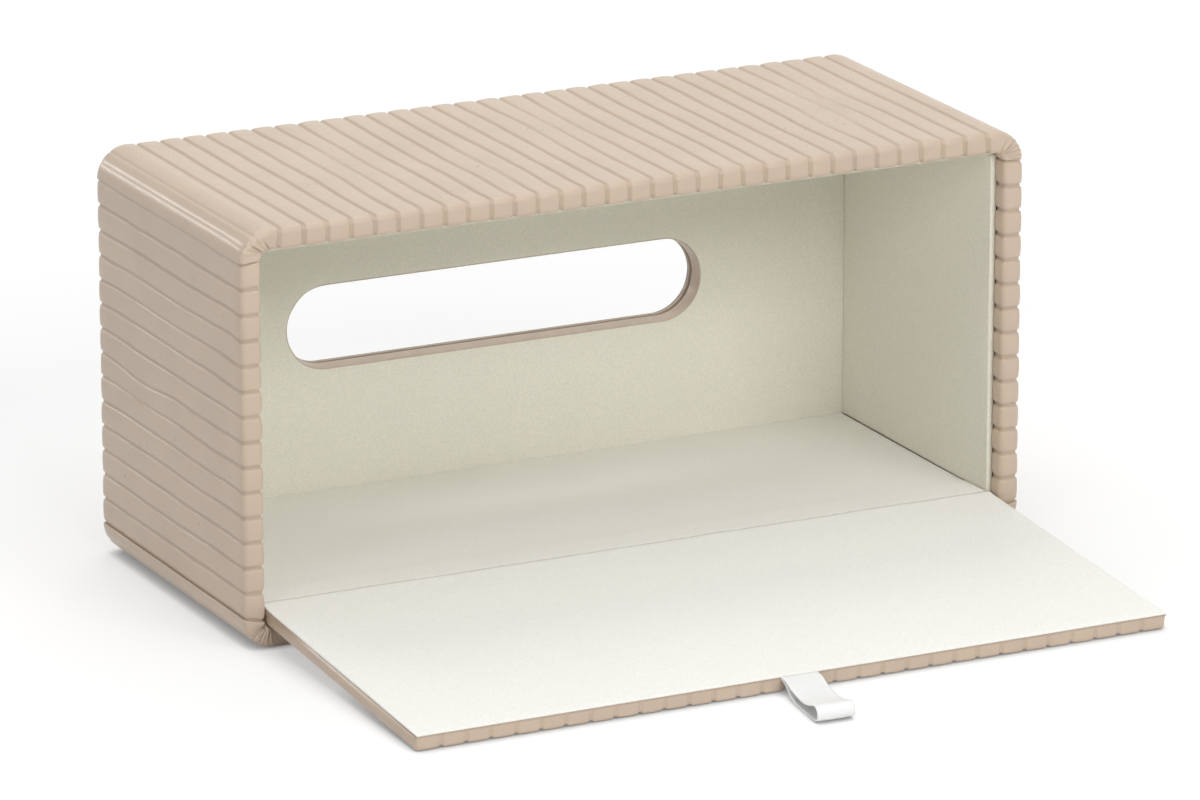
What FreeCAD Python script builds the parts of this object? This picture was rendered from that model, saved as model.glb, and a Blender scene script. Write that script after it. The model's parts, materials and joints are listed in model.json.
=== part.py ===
"""Ribbed tissue box with a drop-down door, as a parametric document.

The case lies on its long side: the tissue slot is in the rear wall and the whole
front is open.  A covered door hangs on the cloth of the floor lining, lies over the
bottom lip and rests its free edge on the table.  Millimetres, +X along the box,
+Y towards the slotted wall, +Z up, origin at the centre of the underside.
"""
import FreeCAD, Part
import math
import os
import Sketcher

SIZES = [
    ("case_width", 260.0, "outside, along the slot"),
    ("case_depth", 108.0, "outside, from the front lip to the slotted wall"),
    ("case_height", 128.0, "outside, as it lies"),
    ("corner_round", 10.0, "outer radius of the four long corners"),
    ("cover", 2.0, "padded leathercloth at the crest of a rib"),
    ("board", 3.5, "wall boards"),
    ("post_flat", 1.0, "flat run of a corner post beyond its curve"),
    ("turned", 1.5, "leathercloth turned in behind the lip"),
    ("lip_round", 3.4, "outer rounding of the front lip"),
    ("lip_bevel", 1.6, "softer inner edge of the lip"),
    ("rear_round", 3.4, "outer rounding of the rear edge"),
    ("back_turn", 3.2, "leathercloth turned onto the rear wall"),
    ("lip_pad", 3.0, "depth of padding in front of the boards"),
    ("groove_width", 2.0, "channel between two ribs"),
    ("groove_deep", 0.8, "depth of that channel"),
    ("pitch_long", 7.55, "rib spacing along the width"),
    ("pitch_end", 7.7, "rib spacing up the two end walls"),
    ("card", 2.4, "stiff card behind a lining"),
    ("cloth", 0.6, "lining cloth"),
    ("panel_gap", 0.15, "gap at each end of a lining panel"),
    ("tape", 0.5, "hinge tape under the floor lining"),
    ("tape_wide", 12.0, "how far the hinge tape reaches in"),
    ("tape_ramp", 2.5, "fall of the lining behind the tape"),
    ("seam_gap", 0.3, "seam round the rear cover"),
    ("slot_long", 143.0, "slot, end to end, as cut in the boards"),
    ("slot_high", 28.0, "slot, across, as cut in the boards"),
    ("trim", 1.2, "rolled edging of the slot"),
    ("trim_bevel", 0.5, "softened ends of the edging"),
    ("trim_proud", 0.2, "how far the edging stands off the lining"),
    ("door_cover", 2.0, "padded leathercloth under the door"),
    ("door_board", 2.0, "board in the door"),
    ("door_card", 0.6, "card behind the door's lining"),
    ("door_skin", 1.2, "leathercloth round the edges of the door"),
    ("door_bevel", 0.8, "bevel of the door's lower edges"),
    ("door_groove", 0.7, "depth of the channels in the door"),
    ("pitch_door", 7.9, "rib spacing on the door"),
    ("side_gap", 0.5, "door to lip, at each end"),
    ("close_gap", 1.0, "door to top lip when shut"),
    ("seat_gap", 0.2, "shut door to the edges of the linings"),
    ("front_inset", 0.3, "shut door behind the front of the lip"),
    ("lip_gap", 0.4, "open door above the bottom lip, at the hinge"),
    ("hinge_gap", 0.5, "bare cloth between the hinge line and the door"),
    ("table_gap", 0.1, "free edge above the table"),
    ("magnet_long", 20.0, "bar magnets"),
    ("magnet_deep", 5.0, "bar magnets, front to back"),
    ("magnet_apart", 120.0, "spacing of the two magnets"),
    ("ribbon_wide", 12.0, "pull ribbon"),
    ("ribbon_thick", 0.45, "pull ribbon"),
    ("ribbon_space", 0.05, "between its two strands in the door"),
    ("ribbon_tail", 12.0, "glued length inside the door"),
    ("ribbon_reach", 30.0, "loop beyond the free edge"),
    ("ribbon_rise", 4.6, "height of the loop at its end"),
]


class Size:
    """A length with the sheet expression that gives it."""

    def __init__(self, value, text):
        self.value = value
        self.text = text

    def _with(self, other, sign, result):
        right = other.text if isinstance(other, Size) else repr(float(other))
        return Size(result, f"({self.text}{sign}{right})")

    def __add__(self, other):
        return self._with(other, " + ", self.value + number(other))

    def __sub__(self, other):
        return self._with(other, " - ", self.value - number(other))

    def __mul__(self, other):
        return self._with(other, " * ", self.value * number(other))

    def __truediv__(self, other):
        return self._with(other, " / ", self.value / number(other))

    def __neg__(self):
        return Size(-self.value, f"(0 - {self.text})")


def number(item):
    return item.value if isinstance(item, Size) else float(item)


def whole(item):
    return Size(math.floor(item.value), f"floor({item.text})")


def sine_angle(item):
    return Size(math.degrees(math.asin(item.value)), f"asin({item.text})")


def slope_angle(rise, run):
    ratio = rise / run
    return Size(math.degrees(math.atan(ratio.value)), f"atan({ratio.text})")


def root(item):
    return Size(math.sqrt(item.value), f"sqrt({item.text})")


doc = FreeCAD.newDocument("TissueBox")
sheet = doc.addObject("Spreadsheet::Sheet", "Sizes")
for row, (alias, value, note) in enumerate(SIZES, start=1):
    sheet.set(f"A{row}", alias)
    sheet.set(f"B{row}", str(value))
    sheet.set(f"C{row}", note)
    sheet.setAlias(f"B{row}", alias)
doc.recompute()

named = {alias: Size(value, f"Sizes.{alias}") for alias, value, note in SIZES}
ZERO = Size(0.0, "0")

# ---- planes and lines that several pieces share --------------------------------
HALF = named["case_width"] / 2
FRONT = -(named["case_depth"] / 2)
BACK = named["case_depth"] / 2
TOP = named["case_height"]
MIDDLE = named["case_height"] / 2
COVER = named["cover"]
SHELL = COVER + named["board"]
WALL = SHELL + named["turned"]
CARD_FACE = SHELL + named["card"]
LINED = CARD_FACE + named["cloth"]
CORNER = named["corner_round"]

DOOR_LINING = named["door_card"] + named["cloth"]
DOOR_THICK = named["door_cover"] + named["door_board"] + DOOR_LINING
LINER_FRONT = FRONT + named["front_inset"] + DOOR_THICK + named["seat_gap"]
CARD_FRONT = LINER_FRONT + named["cloth"]
HINGE_Y = LINER_FRONT - named["seat_gap"]
HINGE_Z = WALL + named["lip_gap"] + DOOR_THICK
DOOR_REACH = TOP - WALL - named["close_gap"] - HINGE_Z
DOOR_HALF = HALF - WALL - named["side_gap"]
RISER_TOP = HINGE_Z - named["cloth"] - named["tape"]
FLOOR = RISER_TOP + named["cloth"]
BACK_CARD = BACK - CARD_FACE
BACK_CLOTH = BACK - LINED

# The open door touches down on the edge between its underside and the bevel.
PIVOT_RUN = DOOR_REACH - named["door_bevel"]
PIVOT_ARM = root(PIVOT_RUN * PIVOT_RUN + DOOR_THICK * DOOR_THICK)
PIVOT_RISE = HINGE_Z - named["table_gap"]
DOOR_SLOPE = sine_angle(PIVOT_RISE / PIVOT_ARM) - slope_angle(DOOR_THICK, PIVOT_RUN)

LONG_GROOVES = whole((named["case_width"] - CORNER * 2) / named["pitch_long"]) + 1
END_GROOVES = whole((named["case_height"] - CORNER * 2) / named["pitch_end"]) + 1
DOOR_GROOVES = whole(DOOR_HALF * 2 / named["pitch_door"]) - 1

SLOT_RADIUS = named["slot_high"] / 2
SLOT_REACH = named["slot_long"] / 2 - SLOT_RADIUS


# ---- building blocks ------------------------------------------------------------
def origin_part(body, role):
    return next(part for part in body.Origin.OriginFeatures if part.Role == role)


def new_body(label):
    body = doc.addObject("PartDesign::Body", label)
    body.Label = label
    return body


def new_sketch(body, name, plane, offset=None):
    sketch = body.newObject("Sketcher::SketchObject", name)
    sketch.AttachmentSupport = [(origin_part(body, plane), "")]
    sketch.MapMode = "FlatFace"
    if offset is not None:
        sketch.setExpression("AttachmentOffset.Base.z", offset.text)
    return sketch


def pin(sketch, geometry, end, kind, size):
    """Holds one end of a line or arc at a size from the sketch's origin."""
    rule = Sketcher.Constraint(kind, -1, 1, geometry, end, size.value)
    index = sketch.addConstraint(rule)
    sketch.renameConstraint(index, f"{kind}_{geometry}_{end}")
    sketch.setExpression(f"Constraints.{kind}_{geometry}_{end}", size.text)


def sign(value):
    return (value > 0) - (value < 0)


def toward(corner, other, radius):
    """The point of a square-cornered outline one radius from a corner."""
    across = sign(other[0].value - corner[0].value)
    upward = sign(other[1].value - corner[1].value)
    return corner[0] + radius * across, corner[1] + radius * upward


def draw_outline(sketch, corners):
    """A closed run of lines; a corner with a third size gets that radius."""
    count = len(corners)
    lines = []
    for index in range(count):
        here, there = corners[index], corners[(index + 1) % count]
        begin = toward(here, there, here[2]) if len(here) == 3 else here
        finish = toward(there, here, there[2]) if len(there) == 3 else there
        ends = [FreeCAD.Vector(x.value, y.value, 0) for x, y in (begin, finish)]
        line = sketch.addGeometry(Part.LineSegment(*ends), False)
        lines.append(line)
        pin(sketch, line, 1, "DistanceX", begin[0])
        pin(sketch, line, 1, "DistanceY", begin[1])
        if len(there) == 3:
            pin(sketch, line, 2, "DistanceX", finish[0])
            pin(sketch, line, 2, "DistanceY", finish[1])
    for index in range(count):
        here, there = lines[index], lines[(index + 1) % count]
        corner = corners[(index + 1) % count]
        if len(corner) == 3:
            round_corner(sketch, here, there, corner)
        else:
            sketch.addConstraint(Sketcher.Constraint("Coincident", here, 2, there, 1))


def round_corner(sketch, here, there, corner):
    start = sketch.getPoint(here, 2)
    finish = sketch.getPoint(there, 1)
    tip = FreeCAD.Vector(corner[0].value, corner[1].value, 0)
    centre = start + finish - tip
    halfway = centre + (tip - centre).normalize() * corner[2].value
    arc = sketch.addGeometry(Part.Arc(start, halfway, finish), False)
    first = 1 if sketch.getPoint(arc, 1).distanceToPoint(start) < 1e-6 else 2
    for line, line_end, arc_end in ((here, 2, first), (there, 1, 3 - first)):
        rule = Sketcher.Constraint("Coincident", line, line_end, arc, arc_end)
        sketch.addConstraint(rule)
    index = sketch.addConstraint(Sketcher.Constraint("Radius", arc, corner[2].value))
    sketch.renameConstraint(index, f"Radius_{arc}")
    sketch.setExpression(f"Constraints.Radius_{arc}", corner[2].text)


def draw_rectangle(sketch, low, high, radius=None):
    round_off = () if radius is None else (radius,)
    draw_outline(sketch, [
        (low[0], low[1], *round_off),
        (high[0], low[1], *round_off),
        (high[0], high[1], *round_off),
        (low[0], high[1], *round_off),
    ])


def draw_stadium(sketch, reach, radius, level):
    """A slot outline about x = 0: two lines and two half circles."""
    low, high = level.value - radius.value, level.value + radius.value
    far, size = reach.value, radius.value
    corners = [(-far, low), (far, low), (far, high), (-far, high)]
    points = [FreeCAD.Vector(x, y, 0) for x, y in corners]
    ends = [FreeCAD.Vector(far + size, level.value, 0),
            FreeCAD.Vector(-far - size, level.value, 0)]
    under = sketch.addGeometry(Part.LineSegment(points[0], points[1]), False)
    right = sketch.addGeometry(Part.Arc(points[1], ends[0], points[2]), False)
    over = sketch.addGeometry(Part.LineSegment(points[2], points[3]), False)
    left = sketch.addGeometry(Part.Arc(points[3], ends[1], points[0]), False)
    joins = ((under, 2, right, 1), (right, 2, over, 1), (over, 2, left, 1), (left, 2, under, 1))
    for join in joins:
        sketch.addConstraint(Sketcher.Constraint("Tangent", *join))
    sketch.addConstraint(Sketcher.Constraint("Equal", right, left))
    for arc, place in ((right, reach), (left, -reach)):
        pin(sketch, arc, 3, "DistanceX", place)
        pin(sketch, arc, 3, "DistanceY", level)
    index = sketch.addConstraint(Sketcher.Constraint("Radius", right, size))
    sketch.renameConstraint(index, "End_radius")
    sketch.setExpression("Constraints.End_radius", radius.text)


def add_pad(body, sketch, name, length, side="One side", flip=False):
    pad = body.newObject("PartDesign::Pad", name)
    pad.Profile = sketch
    pad.SideType = side
    pad.Reversed = flip
    pad.setExpression("Length", length.text)
    doc.recompute()
    return pad


def add_pocket(body, sketch, name, length, side="Symmetric", flip=False):
    before = body.Shape.Volume
    pocket = body.newObject("PartDesign::Pocket", name)
    pocket.Profile = sketch
    pocket.SideType = side
    pocket.Reversed = flip
    pocket.setExpression("Length", length.text)
    doc.recompute()
    if body.Shape.Volume > before - 1e-3:
        raise RuntimeError(f"{body.Label}: {name} cuts nothing")
    return pocket


def bevel(body, name, size, *spots):
    """A chamfer on the runs of tangent edges that pass through the given points."""
    base = body.Tip
    edges = list(enumerate(base.Shape.Edges, start=1))
    names = []
    for spot in spots:
        target = Part.Vertex(*[number(place) for place in spot])
        nearest = min(edges, key=lambda pair: pair[1].distToShape(target)[0])
        names.append(f"Edge{nearest[0]}")
    chamfer = body.newObject("PartDesign::Chamfer", name)
    chamfer.Base = (base, names)
    chamfer.setExpression("Size", size.text)
    doc.recompute()
    return chamfer


def round_end(body, name, radius, end, inward):
    """Rounds the outer edge of one end of the case with three even bevels."""
    wide, narrow = radius * SQUARE_CUT, radius * EDGE_CUT
    bevel(body, name, wide, (0, end, 0))
    bevel(body, name + "Edges", narrow, (0, end, wide), (0, end + wide * inward, 0))


def add_row(body, feature, name, axis, spacing, copies):
    before = body.Shape.Volume
    row = body.newObject("PartDesign::LinearPattern", name)
    row.Originals = [feature]
    row.Direction = (origin_part(body, axis), [""])
    row.Mode = "Spacing"
    row.setExpression("Offset", spacing.text)
    row.setExpression("Occurrences", copies.text)
    body.Tip = row
    doc.recompute()
    if body.Shape.Volume > before - 1e-3:
        raise RuntimeError(f"{body.Label}: {name} cuts nothing")
    return row


def new_box(label, low, high):
    """A plain panel between two corners."""
    box = doc.addObject("Part::Box", label)
    box.Label = label
    for axis, size, start, finish in zip("xyz", ("Length", "Width", "Height"), low, high):
        box.setExpression(size, (finish - start).text)
        box.setExpression(f"Placement.Base.{axis}", start.text)
    return box


def hang_on_hinge(piece):
    """Places a piece drawn about the hinge line at the open door's slope."""
    level = FreeCAD.Rotation(FreeCAD.Vector(1, 0, 0), DOOR_SLOPE.value)
    piece.Placement = FreeCAD.Placement(FreeCAD.Vector(0, 0, 0), level)
    piece.setExpression("Placement.Base.y", HINGE_Y.text)
    piece.setExpression("Placement.Base.z", HINGE_Z.text)
    piece.setExpression("Placement.Rotation.Angle", DOOR_SLOPE.text)
    return piece


pieces = []


# ---- the ribbed sleeve ----------------------------------------------------------
SQUARE_CUT = 2 - math.sqrt(2)
EDGE_CUT = math.tan(math.pi / 8) - math.tan(math.pi / 16)


def add_ring(body, name, start, length, *insets):
    """A band of leathercloth round the case, between two insets from its outside.

    It follows the rounded corners down to the boards; the opening itself is square.
    """
    sketch = new_sketch(body, name + "Outline", "XZ_Plane", -start)
    for inset in insets:
        low, high = (inset - HALF, inset), (HALF - inset, TOP - inset)
        rounded = CORNER - inset if inset not in (SHELL, WALL) else None
        draw_rectangle(sketch, low, high, rounded)
    return add_pad(body, sketch, name, length, flip=True)


def channel_outline(sketch, swap, base, inward):
    """What a channel removes from one wall: all but the core of the skin.

    base is the wall's outer face and inward is 1 or -1; swap draws the wall upright.
    """
    deep = named["groove_deep"]
    lip = (named["lip_round"] - deep) * SQUARE_CUT
    rear = (named["rear_round"] - deep) * SQUARE_CUT
    bevel = named["lip_bevel"] - deep * SQUARE_CUT
    past = COVER
    outline = [
        (LINER_FRONT + past, WALL + past),
        (FRONT - past, WALL + past),
        (FRONT - past, -past),
        (BACK + past, -past),
        (BACK + past, deep * 2 + rear + past),
        (BACK - deep - rear, deep),
        (FRONT + deep + lip, deep),
        (FRONT + deep, deep + lip),
        (FRONT + deep, WALL - deep - bevel),
        (FRONT + deep + bevel, WALL - deep),
        (LINER_FRONT + past, WALL - deep),
    ]
    placed = []
    for along, into in outline:
        level = base + into * inward
        placed.append((level, along) if swap else (along, level))
    draw_outline(sketch, placed)


body = new_body("outer_cover")
add_ring(body, "Skin", FRONT, named["case_depth"], ZERO, COVER)
add_ring(body, "Lip", FRONT, named["lip_pad"], ZERO, WALL)
add_ring(body, "TurnedEdge", FRONT, LINER_FRONT - FRONT, SHELL, WALL)
add_ring(body, "RearTurn", BACK - COVER, COVER, ZERO, named["back_turn"])
bevel(
    body, "LipBevel", named["lip_bevel"],
    (0, FRONT, WALL), (0, FRONT, TOP - WALL),
    (WALL - HALF, FRONT, MIDDLE), (HALF - WALL, FRONT, MIDDLE),
)
round_end(body, "LipRound", named["lip_round"], FRONT, 1)
round_end(body, "RearRound", named["rear_round"], BACK, -1)

first = -((LONG_GROOVES - 1) * named["pitch_long"] / 2)
sketch = new_sketch(body, "LongChannel", "YZ_Plane", first)
channel_outline(sketch, False, ZERO, 1)
channel_outline(sketch, False, TOP, -1)
cut = add_pocket(body, sketch, "LongChannelCut", named["groove_width"])
add_row(body, cut, "LongChannels", "X_Axis", named["pitch_long"], LONG_GROOVES)

first = MIDDLE - (END_GROOVES - 1) * named["pitch_end"] / 2
sketch = new_sketch(body, "EndChannel", "XY_Plane", first)
channel_outline(sketch, True, -HALF, 1)
channel_outline(sketch, True, HALF, -1)
cut = add_pocket(body, sketch, "EndChannelCut", named["groove_width"])
add_row(body, cut, "EndChannels", "Z_Axis", named["pitch_end"], END_GROOVES)
pieces.append(body)

# ---- boards and corner posts ----------------------------------------------------
BOARD_FRONT = FRONT + named["lip_pad"]
BOARD_BACK = BACK - SHELL
SIDE_OUT = HALF - COVER
SIDE_IN = HALF - SHELL
POST_END = CORNER + named["post_flat"]
BEND = HALF - POST_END

for label, low, high in (
    ("bottom_board", (-BEND, COVER), (BEND, SHELL)),
    ("top_board", (-BEND, TOP - SHELL), (BEND, TOP - COVER)),
    ("left_board", (-SIDE_OUT, POST_END), (-SIDE_IN, TOP - POST_END)),
    ("right_board", (SIDE_IN, POST_END), (SIDE_OUT, TOP - POST_END)),
):
    near, far = (low[0], BOARD_FRONT, low[1]), (high[0], BOARD_BACK, high[1])
    pieces.append(new_box(label, near, far))

for label, across, base, upward in (
    ("post_bottom_left", -1, ZERO, 1),
    ("post_bottom_right", 1, ZERO, 1),
    ("post_top_left", -1, TOP, -1),
    ("post_top_right", 1, TOP, -1),
):
    body = new_body(label)
    sketch = new_sketch(body, label + "_outline", "XZ_Plane", -BOARD_FRONT)
    level = {key: base + size * upward for key, size in
             (("out", COVER), ("in", SHELL), ("bend", POST_END))}
    draw_outline(sketch, [
        (SIDE_OUT * across, level["out"], CORNER - COVER),
        (BEND * across, level["out"]),
        (BEND * across, level["in"]),
        (SIDE_IN * across, level["in"]),
        (SIDE_IN * across, level["bend"]),
        (SIDE_OUT * across, level["bend"]),
    ])
    add_pad(body, sketch, label + "_rail", BOARD_BACK - BOARD_FRONT, flip=True)
    pieces.append(body)

# ---- the slotted wall -----------------------------------------------------------
body = new_body("slot_board")
sketch = new_sketch(body, "SlotBoardOutline", "XZ_Plane", -(BACK - SHELL))
draw_rectangle(sketch, (-SIDE_OUT, COVER), (SIDE_OUT, TOP - COVER), CORNER - COVER)
add_pad(body, sketch, "SlotBoardPanel", named["board"], flip=True)
sketch = new_sketch(body, "SlotBoardSlot", "XZ_Plane", -BACK)
draw_stadium(sketch, SLOT_REACH, SLOT_RADIUS, MIDDLE)
add_pocket(body, sketch, "SlotBoardCut", LINED * 4)
pieces.append(body)

body = new_body("slot_cover")
edge = named["back_turn"] + named["seam_gap"]
sketch = new_sketch(body, "RearCoverOutline", "XZ_Plane", -(BACK - COVER))
draw_rectangle(sketch, (edge - HALF, edge), (HALF - edge, TOP - edge), CORNER - edge)
add_pad(body, sketch, "RearCoverSheet", COVER, flip=True)
sketch = new_sketch(body, "RearCoverSlot", "XZ_Plane", -BACK)
draw_stadium(sketch, SLOT_REACH, SLOT_RADIUS, MIDDLE)
add_pocket(body, sketch, "RearCoverCut", LINED * 4)
first = -((LONG_GROOVES - 1) * named["pitch_long"] / 2)
sketch = new_sketch(body, "RearChannel", "XY_Plane")
draw_rectangle(
    sketch,
    (first - named["groove_width"] / 2, BACK - named["groove_deep"]),
    (first + named["groove_width"] / 2, BACK + COVER),
)
cut = add_pocket(body, sketch, "RearChannelCut", TOP * 2)
add_row(body, cut, "RearChannels", "X_Axis", named["pitch_long"], LONG_GROOVES)
pieces.append(body)

body = new_body("slot_trim")
TRIM_FRONT = BACK_CLOTH - named["trim_proud"]
sketch = new_sketch(body, "TrimOutline", "XZ_Plane", -TRIM_FRONT)
draw_stadium(sketch, SLOT_REACH, SLOT_RADIUS, MIDDLE)
add_pad(body, sketch, "TrimBlank", BACK - TRIM_FRONT, flip=True)
sketch = new_sketch(body, "TrimOpening", "XZ_Plane", -BACK)
draw_stadium(sketch, SLOT_REACH, SLOT_RADIUS - named["trim"], MIDDLE)
add_pocket(body, sketch, "TrimOpeningCut", LINED * 4)
for name, end in (("TrimInside", TRIM_FRONT), ("TrimOutside", BACK)):
    bevel(body, name, named["trim_bevel"], (0, end, MIDDLE - SLOT_RADIUS + named["trim"]))
pieces.append(body)

# ---- cards and linings ----------------------------------------------------------
INNER = HALF - SHELL
CEILING = TOP - SHELL

for label, near, far in (("back_card", BACK_CARD, BACK - SHELL), ("back_lining", BACK_CLOTH, BACK_CARD)):
    body = new_body(label)
    sketch = new_sketch(body, label + "_outline", "XZ_Plane", -near)
    draw_rectangle(sketch, (-INNER, SHELL), (INNER, CEILING))
    add_pad(body, sketch, label + "_sheet", far - near, flip=True)
    sketch = new_sketch(body, label + "_slot", "XZ_Plane", -BACK)
    draw_stadium(sketch, SLOT_REACH, SLOT_RADIUS, MIDDLE)
    add_pocket(body, sketch, label + "_cut", LINED * 4)
    pieces.append(body)

pieces.append(new_box("floor_riser", (-INNER, CARD_FRONT, SHELL), (INNER, BACK_CLOTH, RISER_TOP)))

TAPE_END = CARD_FRONT + named["tape_wide"]
TAPE_TOP = RISER_TOP + named["tape"]
pieces.append(new_box("hinge_tape", (-INNER, CARD_FRONT, RISER_TOP), (INNER, TAPE_END, TAPE_TOP)))

body = new_body("floor_lining")
sketch = new_sketch(body, "FloorLiningSection", "YZ_Plane")
RAMP_END = TAPE_END + named["tape_ramp"]
draw_outline(sketch, [
    (LINER_FRONT, SHELL),
    (LINER_FRONT, HINGE_Z),
    (TAPE_END, HINGE_Z),
    (RAMP_END, FLOOR),
    (BACK_CLOTH, FLOOR),
    (BACK_CLOTH, RISER_TOP),
    (RAMP_END, RISER_TOP),
    (TAPE_END, TAPE_TOP),
    (CARD_FRONT, TAPE_TOP),
    (CARD_FRONT, SHELL),
])
add_pad(body, sketch, "FloorLiningSheet", INNER * 2, side="Symmetric")
pieces.append(body)

# The magnets sit in notches in the front edge of the ceiling card.
MAGNET_HALF = named["magnet_long"] / 2
MAGNET_X = named["magnet_apart"] / 2
body = new_body("ceiling_card")
sketch = new_sketch(body, "CeilingCardOutline", "XY_Plane", TOP - CARD_FACE)
notch_back = CARD_FRONT + named["magnet_deep"]
outline = [(-INNER, CARD_FRONT)]
for place in (-MAGNET_X, MAGNET_X):
    outline += [
        (place - MAGNET_HALF, CARD_FRONT),
        (place - MAGNET_HALF, notch_back),
        (place + MAGNET_HALF, notch_back),
        (place + MAGNET_HALF, CARD_FRONT),
    ]
outline += [(INNER, CARD_FRONT), (INNER, BACK_CLOTH), (-INNER, BACK_CLOTH)]
draw_outline(sketch, outline)
add_pad(body, sketch, "CeilingCardSheet", named["card"])
pieces.append(body)
for label, place in (("case_magnet_left", -MAGNET_X), ("case_magnet_right", MAGNET_X)):
    low = (place - MAGNET_HALF, CARD_FRONT, TOP - CARD_FACE)
    pieces.append(new_box(label, low, (place + MAGNET_HALF, notch_back, CEILING)))

body = new_body("ceiling_lining")
sketch = new_sketch(body, "CeilingLiningSection", "YZ_Plane")
draw_outline(sketch, [
    (LINER_FRONT, CEILING),
    (LINER_FRONT, TOP - LINED),
    (BACK_CLOTH, TOP - LINED),
    (BACK_CLOTH, TOP - CARD_FACE),
    (CARD_FRONT, TOP - CARD_FACE),
    (CARD_FRONT, CEILING),
])
add_pad(body, sketch, "CeilingLiningSheet", INNER * 2, side="Symmetric")
pieces.append(body)

PANEL_LOW = HINGE_Z + named["panel_gap"]
PANEL_HIGH = TOP - LINED - named["panel_gap"]
for label, across in (("left", -1), ("right", 1)):
    out, face, cloth = INNER * across, (HALF - CARD_FACE) * across, (HALF - LINED) * across
    near, far = (out, face) if across < 0 else (face, out)
    low = (near, CARD_FRONT, PANEL_LOW)
    pieces.append(new_box(label + "_card", low, (far, BACK_CLOTH, PANEL_HIGH)))
    body = new_body(label + "_lining")
    sketch = new_sketch(body, label + "_lining_section", "XY_Plane", PANEL_LOW)
    draw_outline(sketch, [
        (out, LINER_FRONT),
        (cloth, LINER_FRONT),
        (cloth, BACK_CLOTH),
        (face, BACK_CLOTH),
        (face, CARD_FRONT),
        (out, CARD_FRONT),
    ])
    add_pad(body, sketch, label + "_lining_sheet", PANEL_HIGH - PANEL_LOW)
    pieces.append(body)

# ---- the door, drawn flat about its hinge line ----------------------------------
DOOR_TIP = -DOOR_REACH
DOOR_ROOT = -named["hinge_gap"]
UNDERSIDE = -DOOR_THICK
COVER_RIM = -DOOR_LINING
BOARD_FLOOR = COVER_RIM - named["door_board"]
POCKET_TIP = DOOR_TIP + named["door_skin"]
POCKET_ROOT = DOOR_ROOT - named["door_skin"]
POCKET_HALF = DOOR_HALF - named["door_skin"]
RIBBON_HALF = named["ribbon_wide"] / 2
RECESS_DEEP = named["ribbon_thick"] * 2 + named["ribbon_space"] * 2
RECESS_HALF = RIBBON_HALF + named["ribbon_space"] * 2
RECESS_END = DOOR_TIP + named["ribbon_tail"] + named["ribbon_space"] * 2

body = new_body("door_cover")
sketch = new_sketch(body, "DoorSection", "YZ_Plane")
draw_outline(sketch, [
    (DOOR_TIP, COVER_RIM),
    (DOOR_TIP, UNDERSIDE + named["door_bevel"]),
    (DOOR_TIP + named["door_bevel"], UNDERSIDE),
    (DOOR_ROOT, UNDERSIDE),
    (DOOR_ROOT, COVER_RIM),
])
add_pad(body, sketch, "DoorSlab", DOOR_HALF * 2, side="Symmetric")
sketch = new_sketch(body, "BoardPocket", "XY_Plane", BOARD_FLOOR)
draw_rectangle(sketch, (-POCKET_HALF, POCKET_TIP), (POCKET_HALF, POCKET_ROOT))
add_pocket(body, sketch, "BoardPocketCut", DOOR_THICK, side="One side", flip=True)
sketch = new_sketch(body, "RibbonNotch", "XY_Plane", COVER_RIM - RECESS_DEEP)
draw_rectangle(sketch, (-RECESS_HALF, DOOR_TIP - COVER), (RECESS_HALF, POCKET_TIP + named["door_skin"]))
add_pocket(body, sketch, "RibbonNotchCut", DOOR_THICK, side="One side", flip=True)
first = -((DOOR_GROOVES - 1) * named["pitch_door"] / 2)
sketch = new_sketch(body, "DoorChannel", "YZ_Plane", first)
core_tip = DOOR_TIP + named["door_groove"]
core_floor = UNDERSIDE + named["door_groove"]
core_bevel = named["door_bevel"] - named["door_groove"] * SQUARE_CUT
draw_outline(sketch, [
    (DOOR_TIP - COVER, COVER),
    (DOOR_TIP - COVER, UNDERSIDE - COVER),
    (COVER, UNDERSIDE - COVER),
    (COVER, core_floor),
    (core_tip + core_bevel, core_floor),
    (core_tip, core_floor + core_bevel),
    (core_tip, COVER),
])
cut = add_pocket(body, sketch, "DoorChannelCut", named["groove_width"])
add_row(body, cut, "DoorChannels", "X_Axis", named["pitch_door"], DOOR_GROOVES)
pieces.append(hang_on_hinge(body))

body = new_body("door_board")
sketch = new_sketch(body, "DoorBoardOutline", "XY_Plane", BOARD_FLOOR)
seat = POCKET_TIP + named["magnet_deep"]
outline = [(-POCKET_HALF, POCKET_TIP)]
for place in (-MAGNET_X, MAGNET_X):
    outline += [
        (place - MAGNET_HALF, POCKET_TIP),
        (place - MAGNET_HALF, seat),
        (place + MAGNET_HALF, seat),
        (place + MAGNET_HALF, POCKET_TIP),
    ]
outline += [(POCKET_HALF, POCKET_TIP), (POCKET_HALF, POCKET_ROOT), (-POCKET_HALF, POCKET_ROOT)]
draw_outline(sketch, outline)
add_pad(body, sketch, "DoorBoardSheet", named["door_board"])
sketch = new_sketch(body, "RibbonRecess", "XY_Plane", COVER_RIM - RECESS_DEEP)
draw_rectangle(sketch, (-RECESS_HALF, DOOR_TIP - COVER), (RECESS_HALF, RECESS_END))
add_pocket(body, sketch, "RibbonRecessCut", DOOR_THICK, side="One side", flip=True)
pieces.append(hang_on_hinge(body))

for label, place in (("door_magnet_left", -MAGNET_X), ("door_magnet_right", MAGNET_X)):
    body = new_body(label)
    sketch = new_sketch(body, label + "_outline", "XY_Plane", BOARD_FLOOR)
    draw_rectangle(sketch, (place - MAGNET_HALF, POCKET_TIP), (place + MAGNET_HALF, seat))
    add_pad(body, sketch, label + "_bar", named["door_board"])
    pieces.append(hang_on_hinge(body))

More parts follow.
